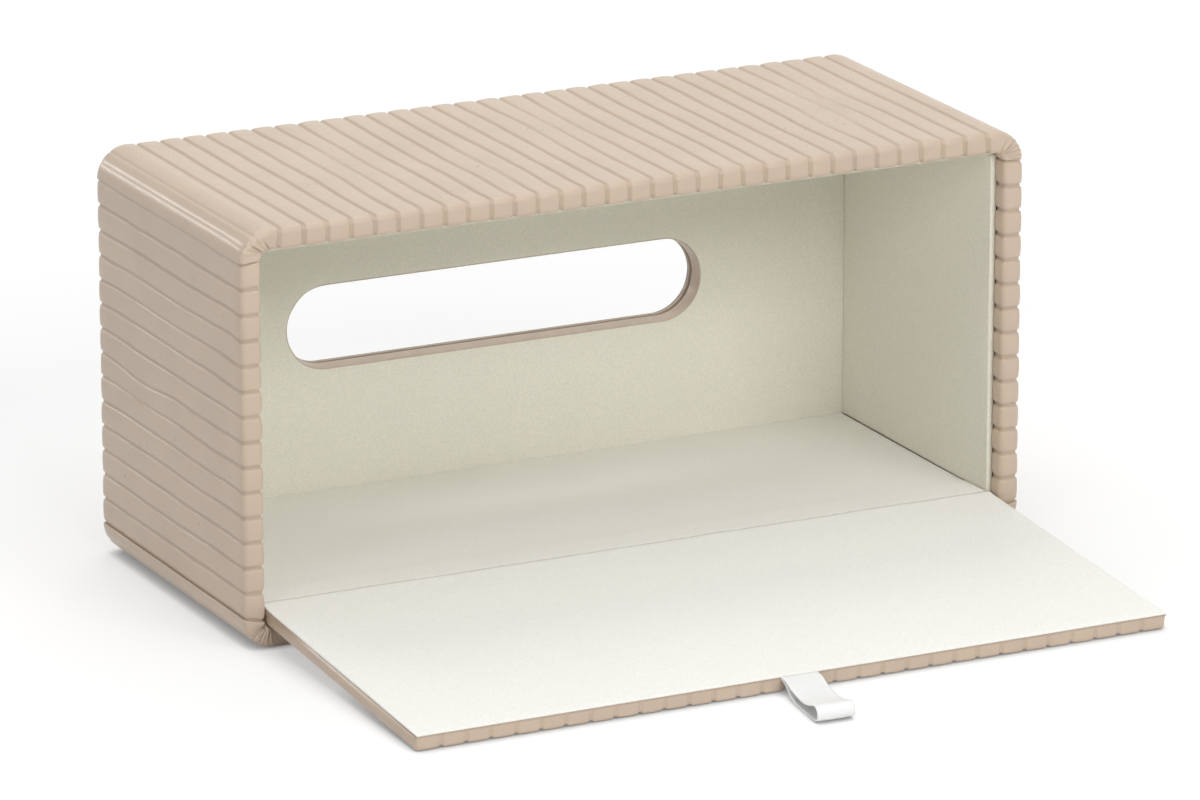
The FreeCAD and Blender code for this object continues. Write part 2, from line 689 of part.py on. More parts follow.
# The door's lining is a card with cloth turned down round its four edges.
body = new_body("door_lining")
sketch = new_sketch(body, "DoorLiningOutline", "XY_Plane", COVER_RIM)
draw_rectangle(sketch, (-DOOR_HALF, DOOR_TIP), (DOOR_HALF, DOOR_ROOT))
add_pad(body, sketch, "DoorLiningSheet", DOOR_LINING)
sketch = new_sketch(body, "DoorCardSpace", "XY_Plane", COVER_RIM)
CLOTH = named["cloth"]
card_low = (CLOTH - DOOR_HALF, DOOR_TIP + CLOTH)
card_high = (DOOR_HALF - CLOTH, DOOR_ROOT - CLOTH)
draw_rectangle(sketch, card_low, card_high)
add_pocket(body, sketch, "DoorCardSpaceCut", named["door_card"], side="One side", flip=True)
pieces.append(hang_on_hinge(body))

body = new_body("door_card")
sketch = new_sketch(body, "DoorCardOutline", "XY_Plane", COVER_RIM)
draw_rectangle(sketch, card_low, card_high)
add_pad(body, sketch, "DoorCardSheet", named["door_card"])
pieces.append(hang_on_hinge(body))


# ---- the pull ribbon ------------------------------------------------------------
def strand_heights():
    """Middle of the upper and the lower strand where they leave the door."""
    thick, space = named["ribbon_thick"].value, named["ribbon_space"].value
    upper = COVER_RIM.value - space / 2 - thick / 2
    return upper, upper - thick - space


def ribbon_path():
    """Middle line of one edge of the ribbon about the hinge, as corners to be rounded."""
    thick, tail = named["ribbon_thick"].value, named["ribbon_tail"].value
    reach, rise = named["ribbon_reach"].value, named["ribbon_rise"].value
    tip, slope = DOOR_REACH.value, math.radians(DOOR_SLOPE.value)
    upper, lower = strand_heights()
    rest = named["table_gap"].value + thick / 2
    slit = HINGE_Z.value - tip * math.sin(slope) + lower * math.cos(slope)

    def above_table(share, height):
        along = tip + reach * share
        lift = height - HINGE_Z.value + along * math.sin(slope)
        return along, lift / math.cos(slope)

    corners = [
        (tip - tail, upper),
        (tip + reach * 0.1, upper),
        above_table(0.34, slit * 0.88),
        above_table(0.76, rise * 1.06),
        above_table(0.96, rise * 0.92),
        above_table(1.02 - thick / 2 / reach, rise * 0.45),
        above_table(0.94, rest),
        above_table(0.62, rest),
        above_table(0.24, rest + slit * 0.30),
        (tip + reach * 0.1, lower),
        (tip - tail, lower),
    ]
    edge = -named["ribbon_wide"].value / 2
    return [FreeCAD.Vector(edge, -along, up) for along, up in corners]


def rounded_side(path, offset):
    """Lines and tangent arcs beside a path; the arcs take 0.45 of the shorter run."""
    edges = []
    spot = None
    for before, corner, after in zip(path, path[1:], path[2:]):
        arriving, leaving = corner - before, after - corner
        reach = 0.45 * min(arriving.Length, leaving.Length)
        arriving.normalize()
        leaving.normalize()
        sides = [FreeCAD.Vector(0, -way.z, way.y) * offset for way in (arriving, leaving)]
        turn = arriving.getAngle(leaving)
        begin = corner - arriving * reach + sides[0]
        finish = corner + leaving * reach + sides[1]
        inward = (leaving - arriving).normalize()
        radius = reach / math.tan(turn / 2)
        centre = corner + inward * (radius / math.cos(turn / 2))
        nearest = radius - offset * sign(sides[0].dot(inward) * offset)
        if spot is None:
            spot = before + sides[0]
        edges.append(Part.makeLine(spot, begin))
        edges.append(Part.Arc(begin, centre - inward * nearest, finish).toShape())
        spot = finish
    edges.append(Part.makeLine(spot, path[-1] + sides[1]))
    return edges


def ribbon_solid():
    """The band on both sides of the middle line, as wide as the ribbon."""
    half, wide = named["ribbon_thick"].value / 2, named["ribbon_wide"].value
    path = ribbon_path()
    outside, inside = rounded_side(path, half), rounded_side(path, -half)
    caps = [
        Part.makeLine(outside[0].Vertexes[0].Point, inside[0].Vertexes[0].Point),
        Part.makeLine(outside[-1].Vertexes[1].Point, inside[-1].Vertexes[1].Point),
    ]
    outline = Part.Wire(Part.__sortEdges__(outside + inside + caps))
    return Part.Face(outline).extrude(FreeCAD.Vector(wide, 0, 0))


ribbon = doc.addObject("Part::Feature", "pull_ribbon")
ribbon.Label = "pull_ribbon"
ribbon.Shape = ribbon_solid()
pieces.append(hang_on_hinge(ribbon))

# ---- checks and files -----------------------------------------------------------
doc.recompute()
for item in doc.Objects:
    if "Invalid" in item.State or "Error" in item.State:
        raise RuntimeError(f"{item.Label} failed: {item.State}")
os.makedirs("parts", exist_ok=True)
for piece in pieces:
    shape = piece.Shape
    if shape.isNull() or not shape.isValid() or len(shape.Solids) != 1:
        raise RuntimeError(f"{piece.Label} is not one sound solid")
    shape.exportStep(f"parts/{piece.Label}.step")
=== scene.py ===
"""Ribbed tissue box with a drop-down door: dressed pieces, finishes and stage."""
import json
import math
from collections import namedtuple
from types import SimpleNamespace

import bmesh
import bpy
import numpy as np
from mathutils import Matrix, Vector


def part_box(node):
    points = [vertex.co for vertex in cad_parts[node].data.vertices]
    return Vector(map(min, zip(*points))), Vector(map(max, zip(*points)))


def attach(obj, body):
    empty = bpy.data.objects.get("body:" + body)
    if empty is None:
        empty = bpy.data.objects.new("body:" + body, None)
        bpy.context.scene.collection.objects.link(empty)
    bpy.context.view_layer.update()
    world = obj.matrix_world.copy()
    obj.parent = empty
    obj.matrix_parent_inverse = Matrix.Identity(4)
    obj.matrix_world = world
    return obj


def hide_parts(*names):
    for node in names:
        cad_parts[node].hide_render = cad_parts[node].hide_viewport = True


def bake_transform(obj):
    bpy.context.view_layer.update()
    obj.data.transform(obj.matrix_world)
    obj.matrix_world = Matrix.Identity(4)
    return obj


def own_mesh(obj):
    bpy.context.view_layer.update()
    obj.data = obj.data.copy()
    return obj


bl_info = {
    "name": "Ribbed tissue box",
    "version": (1, 0, 0),
    "blender": (4, 5, 0),
    "location": "View3D > Sidebar > Tissue box",
    "description": "Builds the ribbed covers, linings, edging and pull ribbon of a tissue box",
    "category": "Object",
}

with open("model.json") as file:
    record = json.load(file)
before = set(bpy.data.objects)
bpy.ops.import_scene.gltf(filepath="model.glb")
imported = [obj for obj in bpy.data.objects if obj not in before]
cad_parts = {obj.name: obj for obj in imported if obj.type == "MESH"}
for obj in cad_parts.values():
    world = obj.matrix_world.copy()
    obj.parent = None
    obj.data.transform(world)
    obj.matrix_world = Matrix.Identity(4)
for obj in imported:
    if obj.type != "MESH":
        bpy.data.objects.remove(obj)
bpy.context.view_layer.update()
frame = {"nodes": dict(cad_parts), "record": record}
CASE_LOW, CASE_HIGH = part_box("outer_cover")

# ---- fixed places, in millimetres ------------------------------------------------
HALF = CASE_HIGH.x * 1000
FRONT, BACK = CASE_LOW.y * 1000, CASE_HIGH.y * 1000
TOP = CASE_HIGH.z * 1000
MIDDLE = TOP / 2
CORNER = 10.0
# Insets from the case's outside to the cover's inner face, the boards' inner face, the
# lip's turned-in edge and the face of the wall linings.
SKIN, SHELL, WALL, LINED = 2.0, 5.5, 7.0, 8.5
CLOTH, CLOTH_RIM = 0.6, 0.45
LINER_FRONT, BOARD_FRONT, BACK_CLOTH = -48.3, -51.0, 45.5
HINGE_Y, HINGE_Z, FLOOR = -48.5, 12.6, 12.1
DOOR_HALF, DOOR_TIP, DOOR_ROOT = 122.5, -107.4, -0.5
DOOR_THICK, DOOR_LINING = 5.2, 1.2
DOOR_RUN, DOOR_DROP = 106.6, 12.5
DOOR_SLOPE = (
    math.asin(DOOR_DROP / math.hypot(DOOR_RUN, DOOR_THICK)) - math.atan2(DOOR_THICK, DOOR_RUN)
)
SLOT_REACH, SLOT_RADIUS, SLOT_STEPS = 57.5, 14.0, 96


def length(name, value, description):
    return bpy.props.FloatProperty(
        name=name, description=description, default=value, min=0.0, unit="LENGTH", precision=5
    )


def tint(name, value, description):
    return bpy.props.FloatVectorProperty(
        name=name, description=description, default=value, size=3, min=0.0, max=1.0,
        subtype="COLOR",
    )


class TissueBoxSizes(bpy.types.PropertyGroup):
    """Sizes of the padded covers, the edging and the ribbon."""

    pitch_long: length("Long rib spacing", 0.00755, "Rib spacing along the width")
    pitch_end: length("End rib spacing", 0.0077, "Rib spacing up the two end walls")
    pitch_door: length("Door rib spacing", 0.0079, "Rib spacing on the door")
    groove_half: length("Half groove", 0.0009, "From the middle of a groove to its brink")
    groove_deep: length("Groove depth", 0.00072, "Depth of a groove under the crest")
    crown: length("Rib crown", 0.00017, "How much a rib's crest is rounded")
    lip_round: length("Lip rounding", 0.0021, "Outer rounding of the front lip")
    lip_inner: length("Inner lip rounding", 0.0019, "Inner rounding of the front lip")
    rear_round: length("Rear rounding", 0.0032, "Rounding of the rear edge")
    wander: length("Groove wander", 0.0003, "How far a groove wanders from its line")
    trim: length("Edging", 0.0012, "Thickness of the slot's edging")
    ribbon_wide: length("Ribbon width", 0.012, "Width of the pull ribbon")
    ribbon_thick: length("Ribbon thickness", 0.0003, "Thickness of the pull ribbon")


class TissueBoxColours(bpy.types.PropertyGroup):
    """Colours of the finishes."""

    leathercloth: tint("Leathercloth", (0.60, 0.48, 0.372), "Padded covers")
    # groove and crease are painted shade: the colours that the leathercloth and the microfibre are
    # darkened to where shade falls in grooves, pleats, notches and the hinge crease
    groove: tint("Groove", (0.44, 0.335, 0.25), "Leathercloth down in a groove or pleat")
    crease: tint("Crease", (0.34, 0.29, 0.24), "Microfibre down in the hinge crease")
    edging: tint("Edging", (0.56, 0.455, 0.36), "Rolled edging of the slot")
    lining: tint("Lining", (0.83, 0.806, 0.706), "Microfibre on the walls")
    floor_lining: tint("Floor lining", (0.915, 0.91, 0.862), "Microfibre of the floor and door")
    board: tint("Board", (0.42, 0.29, 0.18), "Wall boards")
    card: tint("Card", (0.42, 0.40, 0.35), "Stiff card")
    tape: tint("Tape", (0.62, 0.62, 0.57), "Hinge tape")
    magnet: tint("Magnet", (0.62, 0.62, 0.63), "Plated magnets")
    ribbon: tint("Ribbon", (0.93, 0.93, 0.92), "Satin ribbon")


# ---- mesh helpers ----------------------------------------------------------------
def smooth(value):
    """Eases from 0 to 1 as the value goes from 0 to 1."""
    value = np.clip(value, 0.0, 1.0)
    return value * value * (3 - 2 * value)


def bulge(share, reach=1.0):
    """How far a round edge of a given reach has dropped, at a share of the way round."""
    return reach * (1 - np.sqrt(1 - share ** 2))


# Waves that make up a ripple, and about how high they add up.
WAVES, WAVES_HEIGHT = 8, 3.4


def ripple(along, across, seed, scale):
    """A smooth wandering field of about -1 to 1 over a surface in millimetres."""
    draw = np.random.default_rng(seed)
    total = 0.0
    for _ in range(WAVES):
        angle, phase = draw.uniform(0, 2 * math.pi, 2)
        rate = 2 * math.pi / (scale * draw.uniform(0.7, 1.7))
        total = total + np.sin(rate * (along * math.cos(angle) + across * math.sin(angle)) + phase)
    return total / WAVES_HEIGHT


def grid(name, columns, rows):
    """A flat grid, with the column and the row of each of its points."""
    bm = bmesh.new()
    bmesh.ops.create_grid(bm, x_segments=columns - 1, y_segments=rows - 1, size=0.5)
    mesh = bpy.data.meshes.new(name)
    bm.to_mesh(mesh)
    bm.free()
    flat = np.empty(len(mesh.vertices) * 3, np.float32)
    mesh.vertices.foreach_get("co", flat)
    places = np.rint((flat.reshape(-1, 3)[:, :2] + 0.5) * (columns - 1, rows - 1)).astype(int)
    return mesh, *places.T


def shape(mesh, points, **attributes):
    """Sets a mesh's points, given in millimetres, and its point attributes."""
    points = np.stack(points, 1)
    mesh.vertices.foreach_set("co", (points / 1000).astype(np.float32).ravel())
    for name, values in attributes.items():
        layer = mesh.attributes.new(name, "FLOAT", "POINT")
        layer.data.foreach_set("value", np.broadcast_to(values, len(points)).astype(np.float32))


def lofted(name, columns, rows, place, fill_ends=False):
    """A piece made from a grid of columns by rows, closed from its last row to its first.

    place takes the columns and the rows as two index arrays, and gives the points in
    millimetres and how far each is in a groove.
    """
    mesh, column, row = grid(name, columns, rows + 1)
    points, groove = place(column, row % rows)
    shape(mesh, points, groove=groove)
    bm = bmesh.new()
    bm.from_mesh(mesh)
    bmesh.ops.remove_doubles(bm, verts=bm.verts, dist=1e-6)
    if fill_ends:
        rims = [edge for edge in bm.edges if edge.is_boundary]
        bmesh.ops.holes_fill(bm, edges=rims, sides=0)
    bmesh.ops.recalc_face_normals(bm, faces=bm.faces)
    if bm.calc_volume(signed=True) < 0:
        bmesh.ops.reverse_faces(bm, faces=bm.faces)
    return finished(bm, mesh)


def finished(bm, mesh, smooth_faces=True):
    """Writes an edit mesh back and links it into the scene."""
    bm.to_mesh(mesh)
    bm.free()
    return linked(mesh, smooth_faces)


def linked(mesh, smooth_faces=True):
    """Puts a mesh into the scene as a piece at the origin."""
    mesh.polygons.foreach_set("use_smooth", [smooth_faces] * len(mesh.polygons))
    piece = bpy.data.objects.new(mesh.name, mesh)
    bpy.context.scene.collection.objects.link(piece)
    return piece


def rounded_turn(centre, radius, start, finish, steps):
    """Points and outward normals round a turn; angles in degrees, 0 along the first axis."""
    rows = []
    for angle in np.radians(np.linspace(start, finish, steps + 1)):
        way = (math.cos(angle), math.sin(angle))
        rows.append((centre[0] + radius * way[0], centre[1] + radius * way[1], *way))
    return rows


def run(first, last, steps, normal):
    """Evenly spaced points of a straight run, without its two ends."""
    (a, b), (c, d) = first, last
    shares = [step / steps for step in range(1, steps)]
    return [(a + (c - a) * share, b + (d - b) * share, *normal) for share in shares]


# ---- ribs ------------------------------------------------------------------------
# Where columns stand across a groove, in halves of its width.
GROOVE_COLUMNS = np.array([-1.45, -1.02, -0.76, -0.54, -0.32, 0.32, 0.54, 0.76, 1.02, 1.45])
RIB_COLUMNS = 3
MARGIN_COLUMNS = 3


def rib_stations(mm, reach, pitch, grooves):
    """Places across a ribbed run, close together over each groove."""
    offsets = GROOVE_COLUMNS * mm.groove_half
    first = -(grooves - 1) * pitch / 2
    places = []
    for groove in range(grooves):
        middle = first + groove * pitch
        places.extend(middle + offsets)
        if groove < grooves - 1:
            low, high = middle + offsets[-1], middle + pitch + offsets[0]
            shares = np.arange(1, RIB_COLUMNS + 1) / (RIB_COLUMNS + 1)
            places.extend(low + (high - low) * shares)
    margin = -reach + (reach + places[0]) * np.arange(MARGIN_COLUMNS) / MARGIN_COLUMNS
    return np.concatenate([margin, places, -margin[::-1]])


def rib_section(mm, place, pitch, grooves, deep=1.0, crown=1.0, floor=0.46, bank=0.50):
    """How far the surface lies under the crest, and how deep in a groove it is (0 to 1), which
    also sets the painted shade in the groove.

    deep and crown are shares of the sizes of those names. floor and bank are shares of half
    a groove: where its flat floor ends, and its side's width.
    """
    half, deep, crown = mm.groove_half, mm.groove_deep * deep, mm.crown * crown
    first = -(grooves - 1) * pitch / 2
    nearest = np.clip(np.rint((place - first) / pitch), 0, grooves - 1)
    away = np.abs(place - first - nearest * pitch)
    share = 1 - smooth((away - floor * half) / (bank * half))
    flank = np.clip((pitch / 2 - away) / (pitch / 2 - half), 0, 1)
    rounding = crown * flank ** 3
    return np.where(share > 0, rounding + (deep - rounding) * share, rounding), share


def wall_ribs(mm, long_wall):
    """Rib spacing, half length and number of grooves of one wall of the case."""
    pitch = mm.pitch_long if long_wall else mm.pitch_end
    reach = (HALF if long_wall else MIDDLE) - CORNER
    return pitch, reach, int(2 * reach / pitch) + 1


# ---- materials -------------------------------------------------------------------
class Finish:
    """A node material under construction."""

    def __init__(self, name):
        self.material = bpy.data.materials.new(name)
        self.material.use_nodes = True
        self.tree = self.material.node_tree
        self.shader = self.tree.nodes["Principled BSDF"]
        self.place = self.add("ShaderNodeTexCoord").outputs["Object"]

    def add(self, kind, **inputs):
        node = self.tree.nodes.new(kind)
        for name, value in inputs.items():
            self.feed(node, name.replace("_", " "), value)
        return node

    def feed(self, node, key, value):
        """Links or sets one input of a node, by its name or number."""
        socket = node.inputs[key]
        if isinstance(value, bpy.types.NodeSocket):
            self.tree.links.new(value, socket)
        else:
            socket.default_value = value

    def set(self, **inputs):
        for name, value in inputs.items():
            self.feed(self.shader, name.replace("_", " "), value)

    def noise(self, scale, detail=2.0, roughness=0.5):
        node = self.add(
            "ShaderNodeTexNoise", Vector=self.place, Scale=scale, Detail=detail,
            Roughness=roughness,
        )
        return node.outputs["Fac"]

    def cells(self, scale, feature="F1"):
        node = self.add("ShaderNodeTexVoronoi", Vector=self.place, Scale=scale)
        node.feature = feature
        return node.outputs["Distance"]

    def bands(self, scale, direction):
        node = self.add(
            "ShaderNodeTexWave", Vector=self.place, Scale=scale, Distortion=0.4, Detail=1.0
        )
        node.bands_direction = direction
        return node.outputs["Fac"]

    def remap(self, value, low=0.3, high=0.7, new_low=0.0, new_high=1.0):
        """Carries a value from one range over to another."""
        node = self.add(
            "ShaderNodeMapRange", Value=value, From_Min=low, From_Max=high, To_Min=new_low,
            To_Max=new_high,
        )
        return node.outputs["Result"]

    def blend(self, share, first, second):
        """Mixes two colours or colour outputs."""
        node = self.add("ShaderNodeMix")
        node.data_type = "RGBA"
        self.feed(node, "Factor", share)
        for number, value in ((6, first), (7, second)):
            is_output = isinstance(value, bpy.types.NodeSocket)
            self.feed(node, number, value if is_output else (*value[:3], 1.0))
        return node.outputs[2]

    def mottle(self, value, colour, dark, light, low=0.3, high=0.7):
        """A colour that goes from a dark to a light share of itself with a value."""
        return self.blend(self.remap(value, low, high), shade(colour, dark), shade(colour, light))

    def maths(self, operation, first, second=0.0):
        node = self.add("ShaderNodeMath")
        node.operation = operation
        self.feed(node, 0, first)
        self.feed(node, 1, second)
        return node.outputs[0]

    def attribute(self, name):
        node = self.add("ShaderNodeAttribute")
        node.attribute_name = name
        return node.outputs["Fac"]

    def bump(self, height, distance, strength, under=None):
        """Relief of a distance in metres, over the relief already there."""
        node = self.add("ShaderNodeBump", Height=height, Distance=distance, Strength=strength)
        if under is not None:
            self.feed(node, "Normal", under)
        return node.outputs["Normal"]


def shade(colour, share):
    return tuple(channel * share for channel in colour)


def leathercloth_finish(finish, colour, groove_shade_colour):
    """Soft padded leathercloth: pebbled grain, warm shadows in the grooves."""
    tone = finish.mottle(finish.noise(38.0, 3.0), colour, 0.965, 1.03)
    # Painted shade: the groove attribute darkens the cloth towards the groove colour down in
    # grooves, pleats and notches and along the door's cloth edge
    groove = finish.remap(finish.attribute("groove"), 0.0, 2.0, 0.0, 0.95)
    creases = finish.noise(520.0, 4.0, 0.6)
    pores = finish.remap(finish.cells(900.0, "DISTANCE_TO_EDGE"), 0.0, 0.12)
    normal = finish.bump(finish.cells(1500.0), 0.00004, 0.15)
    normal = finish.bump(creases, 0.0001, 0.16, normal)
    normal = finish.bump(pores, 0.00002, 0.15, normal)
    finish.set(Base_Color=finish.blend(groove, tone, groove_shade_colour), Normal=normal)
    finish.set(Roughness=finish.remap(creases, new_low=0.27, new_high=0.38))
    finish.set(Specular_IOR_Level=0.22, Coat_Weight=0.1, Coat_Roughness=0.17)


def edging_finish(finish, colour):
    """Smooth rolled leather round the slot, with drawn marks along its length."""
    marks = finish.noise(240.0, 3.0, 0.6)
    tone = finish.mottle(marks, colour, 0.93, 1.05)
    # Painted shade: the groove attribute darkens the edging to a third of its colour in its dip
    # and at its rolled ends
    tone = finish.blend(finish.attribute("groove"), tone, shade(colour, 0.3))
    normal = finish.bump(finish.cells(1800.0), 0.00003, 0.15)
    finish.set(Base_Color=tone, Normal=finish.bump(marks, 0.0001, 0.25, normal))
    finish.set(Roughness=finish.remap(marks, new_low=0.3, new_high=0.42), Specular_IOR_Level=0.45)


def microfibre_finish(finish, colour, crease_shade_colour):
    """Short-napped microfibre: speckled, with a soft sheen."""
    nap, stroke = finish.noise(1500.0, 3.0, 0.7), finish.noise(60.0, 2.0)
    tone = finish.mottle(nap, colour, 0.93, 1.05, 0.32, 0.68)
    tone = finish.blend(finish.remap(stroke, new_high=0.25), tone, shade(colour, 0.96))
    fleck = finish.remap(finish.noise(2600.0, 1.0), 0.66, 0.74, 0.0, 0.35)
    tone = finish.blend(fleck, tone, shade(colour, 0.72))
    # Painted shade: the groove attribute darkens the cloth towards the crease colour down in the
    # hinge crease
    tone = finish.blend(finish.attribute("groove"), tone, crease_shade_colour)
    finish.set(Base_Color=tone, Roughness=0.93, Normal=finish.bump(nap, 0.00012, 0.45))
    finish.set(Specular_IOR_Level=0.15, Sheen_Weight=0.12, Sheen_Roughness=0.5)


def board_finish(finish, colour):
    """Fibreboard with a cut, speckled face."""
    fibre, broad = finish.noise(700.0, 4.0, 0.65), finish.noise(90.0, 2.0)
    tone = finish.mottle(fibre, colour, 0.85, 1.15)
    tone = finish.blend(finish.remap(broad, new_high=0.3), tone, shade(colour, 0.9))
    finish.set(Base_Color=tone, Roughness=0.8, Normal=finish.bump(fibre, 0.0001, 0.4))


def card_finish(finish, colour):
    """Grey pressed card with long fibres."""
    fibre = finish.noise(900.0, 5.0, 0.7)
    finish.set(Base_Color=finish.mottle(fibre, colour, 0.88, 1.1), Roughness=0.9)
    finish.set(Normal=finish.bump(fibre, 0.00006, 0.4))


def tape_finish(finish, colour):
    """Plain-woven cotton tape."""
    weave = finish.maths("MULTIPLY", finish.bands(420.0, "X"), finish.bands(420.0, "Y"))
    tone = finish.blend(weave, shade(colour, 0.86), shade(colour, 1.06))
    finish.set(Base_Color=tone, Roughness=0.9, Normal=finish.bump(weave, 0.00015, 0.6))


def magnet_finish(finish, colour):
    """Nickel-plated bar with fine scuffs."""
    scuffs = finish.noise(1400.0, 3.0, 0.6)
    finish.set(Base_Color=finish.mottle(scuffs, colour, 0.92, 1.05), Metallic=1.0)
    finish.set(Roughness=finish.remap(scuffs, new_low=0.22, new_high=0.38))


def ribbon_finish(finish, colour):
    """Satin ribbon: fine cross threads, woven edges and a soft shine."""
    across, along = finish.attribute("across"), finish.attribute("along")
    thread_step, rows_across = 0.00028, 150.0
    thread = finish.maths("SINE", finish.maths("MULTIPLY", along, 2 * math.pi / thread_step))
    edge = finish.remap(finish.maths("ABSOLUTE", across), 0.86, 0.92)
    rows = finish.maths("SINE", finish.maths("MULTIPLY", across, rows_across))
    weighted = [
        finish.maths("MULTIPLY", *pair) for pair in ((thread, 0.35), (edge, 0.8), (rows, 0.2))
    ]
    height = finish.maths("ADD", finish.maths("ADD", *weighted[:2]), weighted[2])
    finish.set(Base_Color=finish.mottle(height, colour, 0.955, 1.03, -0.5, 1.2))
    finish.set(Roughness=finish.remap(edge, 0.0, 1.0, 0.34, 0.5))
    finish.set(Normal=finish.bump(height, 0.00003, 0.45))
    finish.set(Specular_IOR_Level=0.5, Anisotropic=0.5, Sheen_Weight=0.15)
    finish.set(Subsurface_Weight=0.25, Subsurface_Radius=(1, 1, 1), Subsurface_Scale=0.001)


# For each use: the material's name, its finish and the colour of the shade painted down in its
# folds.
MATERIALS = {
    "leathercloth": ("padded_leathercloth", leathercloth_finish, "groove"),
    "edging": ("rolled_edging", edging_finish),
    "lining": ("wall_microfibre", microfibre_finish, "crease"),
    "floor_lining": ("floor_microfibre", microfibre_finish, "crease"),
    "ribbon": ("satin_ribbon", ribbon_finish),
    "board": ("fibreboard", board_finish),
    "card": ("pressed_card", card_finish),
    "tape": ("cotton_tape", tape_finish),
    "magnet": ("plated_magnet", magnet_finish),
}


def material(use):
    """The material for a use, made once."""
    name, make, *fold = MATERIALS[use]
    if name not in bpy.data.materials:
        colours = bpy.context.scene.tissue_box_colours
        make(Finish(name), *(getattr(colours, each) for each in (use, *fold)))
    return bpy.data.materials[name]


# ---- the ribbed sleeve -----------------------------------------------------------
# Pleats of a lip corner: angle from the wall's way out, length, depth, half width and
# how far along the long wall it starts, in degrees and millimetres.
PLEATS = {
    (-1, 1): ((3, 8.0, 0.22, 0.3, 0.0), (21, 8.5, 0.35, 0.24, 0.0), (41, 6.5, 0.85, 0.16, 0.0),
              (53, 6.5, 0.25, 0.24, -1.1), (64, 6.2, 0.8, 0.15, -2.3),
              (77, 6.5, 0.3, 0.22, -3.3), (88, 5.5, 0.2, 0.25, -4.2)),
    (1, 1): ((-16, 12.0, 0.5, 0.24, 0.0), (-2, 11.0, 0.35, 0.26, 0.0),
             (12, 9.0, 0.55, 0.24, 0.0), (28, 7.5, 0.4, 0.24, 0.0), (46, 10.0, 0.8, 0.22, 0.0),
             (66, 6.5, 0.4, 0.26, -0.8)),
    (-1, -1): ((6, 7.0, 0.3, 0.24, 0.0), (19, 9.0, 0.5, 0.2, 0.0), (30, 8.5, 0.6, 0.18, 0.0),
               (41, 9.5, 0.75, 0.2, 0.0), (52, 8.5, 0.5, 0.2, 0.0), (64, 9.0, 0.8, 0.2, 0.0),
               (77, 8.5, 0.5, 0.2, 0.0), (90, 8.5, 0.75, 0.2, -0.3),
               (103, 7.5, 0.45, 0.22, -0.6), (116, 7.0, 0.5, 0.22, -1.0)),
    (1, -1): ((8, 7.0, 0.4, 0.24, 0.0), (24, 8.0, 0.6, 0.2, 0.0), (38, 9.0, 0.65, 0.2, 0.0),
              (54, 8.5, 0.55, 0.2, 0.0), (70, 8.0, 0.6, 0.22, 0.0),
              (86, 7.0, 0.45, 0.24, 0.0)),
}
PLEAT_ROOT, PLEAT_LONGEST = WALL + 0.6, 16
FULL_SHADE_DEPTH = 0.7

# Places where the padding was drawn together: side, place along it, y, width, length, pull.
PINCHES = (
    ("top", -92.0, 8.0, 9.0, 22.0, 1.9),
    ("top", -84.0, -18.0, 7.0, 16.0, -1.5),
    ("top", -4.0, 14.0, 10.0, 24.0, 1.2),
    ("top", 70.0, 6.0, 9.0, 26.0, 1.2),
    ("top", 34.0, -16.0, 8.0, 18.0, -0.8),
    ("left", 6.0, 22.0, 7.0, 20.0, 1.5),
    ("left", -22.0, 4.0, 8.0, 22.0, 0.9),
    ("right", 12.0, 10.0, 8.0, 22.0, 1.1),
    ("bottom", -40.0, 5.0, 9.0, 22.0, 1.0),
    ("bottom", 62.0, -12.0, 9.0, 22.0, 0.9),
)

Side = namedtuple("Side", "name along_x along_z out_x out_z long_wall")
SIDES = (
    Side("bottom", 1, 0, 0, -1, True),
    Side("right", 0, 1, 1, 0, False),
    Side("top", -1, 0, 0, 1, True),
    Side("left", 0, -1, -1, 0, False),
)
CORNER_STEPS = 44
# Lengthwise creases of a corner: depth, share of the turn and width.
CORNER_CREASES = ((0.12, 0.63, 0.03), (0.24, 0.38, 0.028))


def lip_profile(mm):
    """Rows of the sleeve from the turned-in edge over the lip to the rear and back inside.

    A row is a y, an inset and the way out there. The number of rows that show comes second.
    """
    lip, inner, rear = mm.lip_round, mm.lip_inner, mm.rear_round
    start = LINER_FRONT + 0.05
    rows = [(start, WALL, 0, 1)]
    rows += run((LINER_FRONT, WALL), (FRONT + inner, WALL), 5, (0, 1))
    rows += rounded_turn((FRONT + inner, WALL - inner), inner, 90, 180, 4)
    rows += run((FRONT, WALL - inner), (FRONT, lip), 6, (-1, 0))
    rows += rounded_turn((FRONT + lip, lip), lip, 180, 270, 6)
    rows += run((FRONT + lip, 0), (BACK - rear, 0), 30, (0, -1))
    rows += rounded_turn((BACK - rear, rear), rear, -90, 0, 7)
    shown = len(rows)
    rows.append((BACK - 0.25, rear + 0.2, 0, 1))
    hidden = ((BACK - SKIN, rear + 0.2), (BACK - SKIN, SKIN), (0.0, SKIN), (BOARD_FRONT, SKIN),
              (BOARD_FRONT, SHELL), (start, SHELL))
    return np.array(rows + [(*spot, 0, 0) for spot in hidden]), shown


def sleeve_stations(mm):
    """Columns round the case: side, place along it and, at a corner, the share of its turn."""
    stations = []
    for index, wall in enumerate(SIDES):
        pitch, reach, grooves = wall_ribs(mm, wall.long_wall)
        for place in rib_stations(mm, reach, pitch, grooves):
            stations.append((index, place, 0.0))
        for step in range(1, CORNER_STEPS):
            stations.append((index, reach, step / CORNER_STEPS))
    return np.array(stations + stations[:1], float)


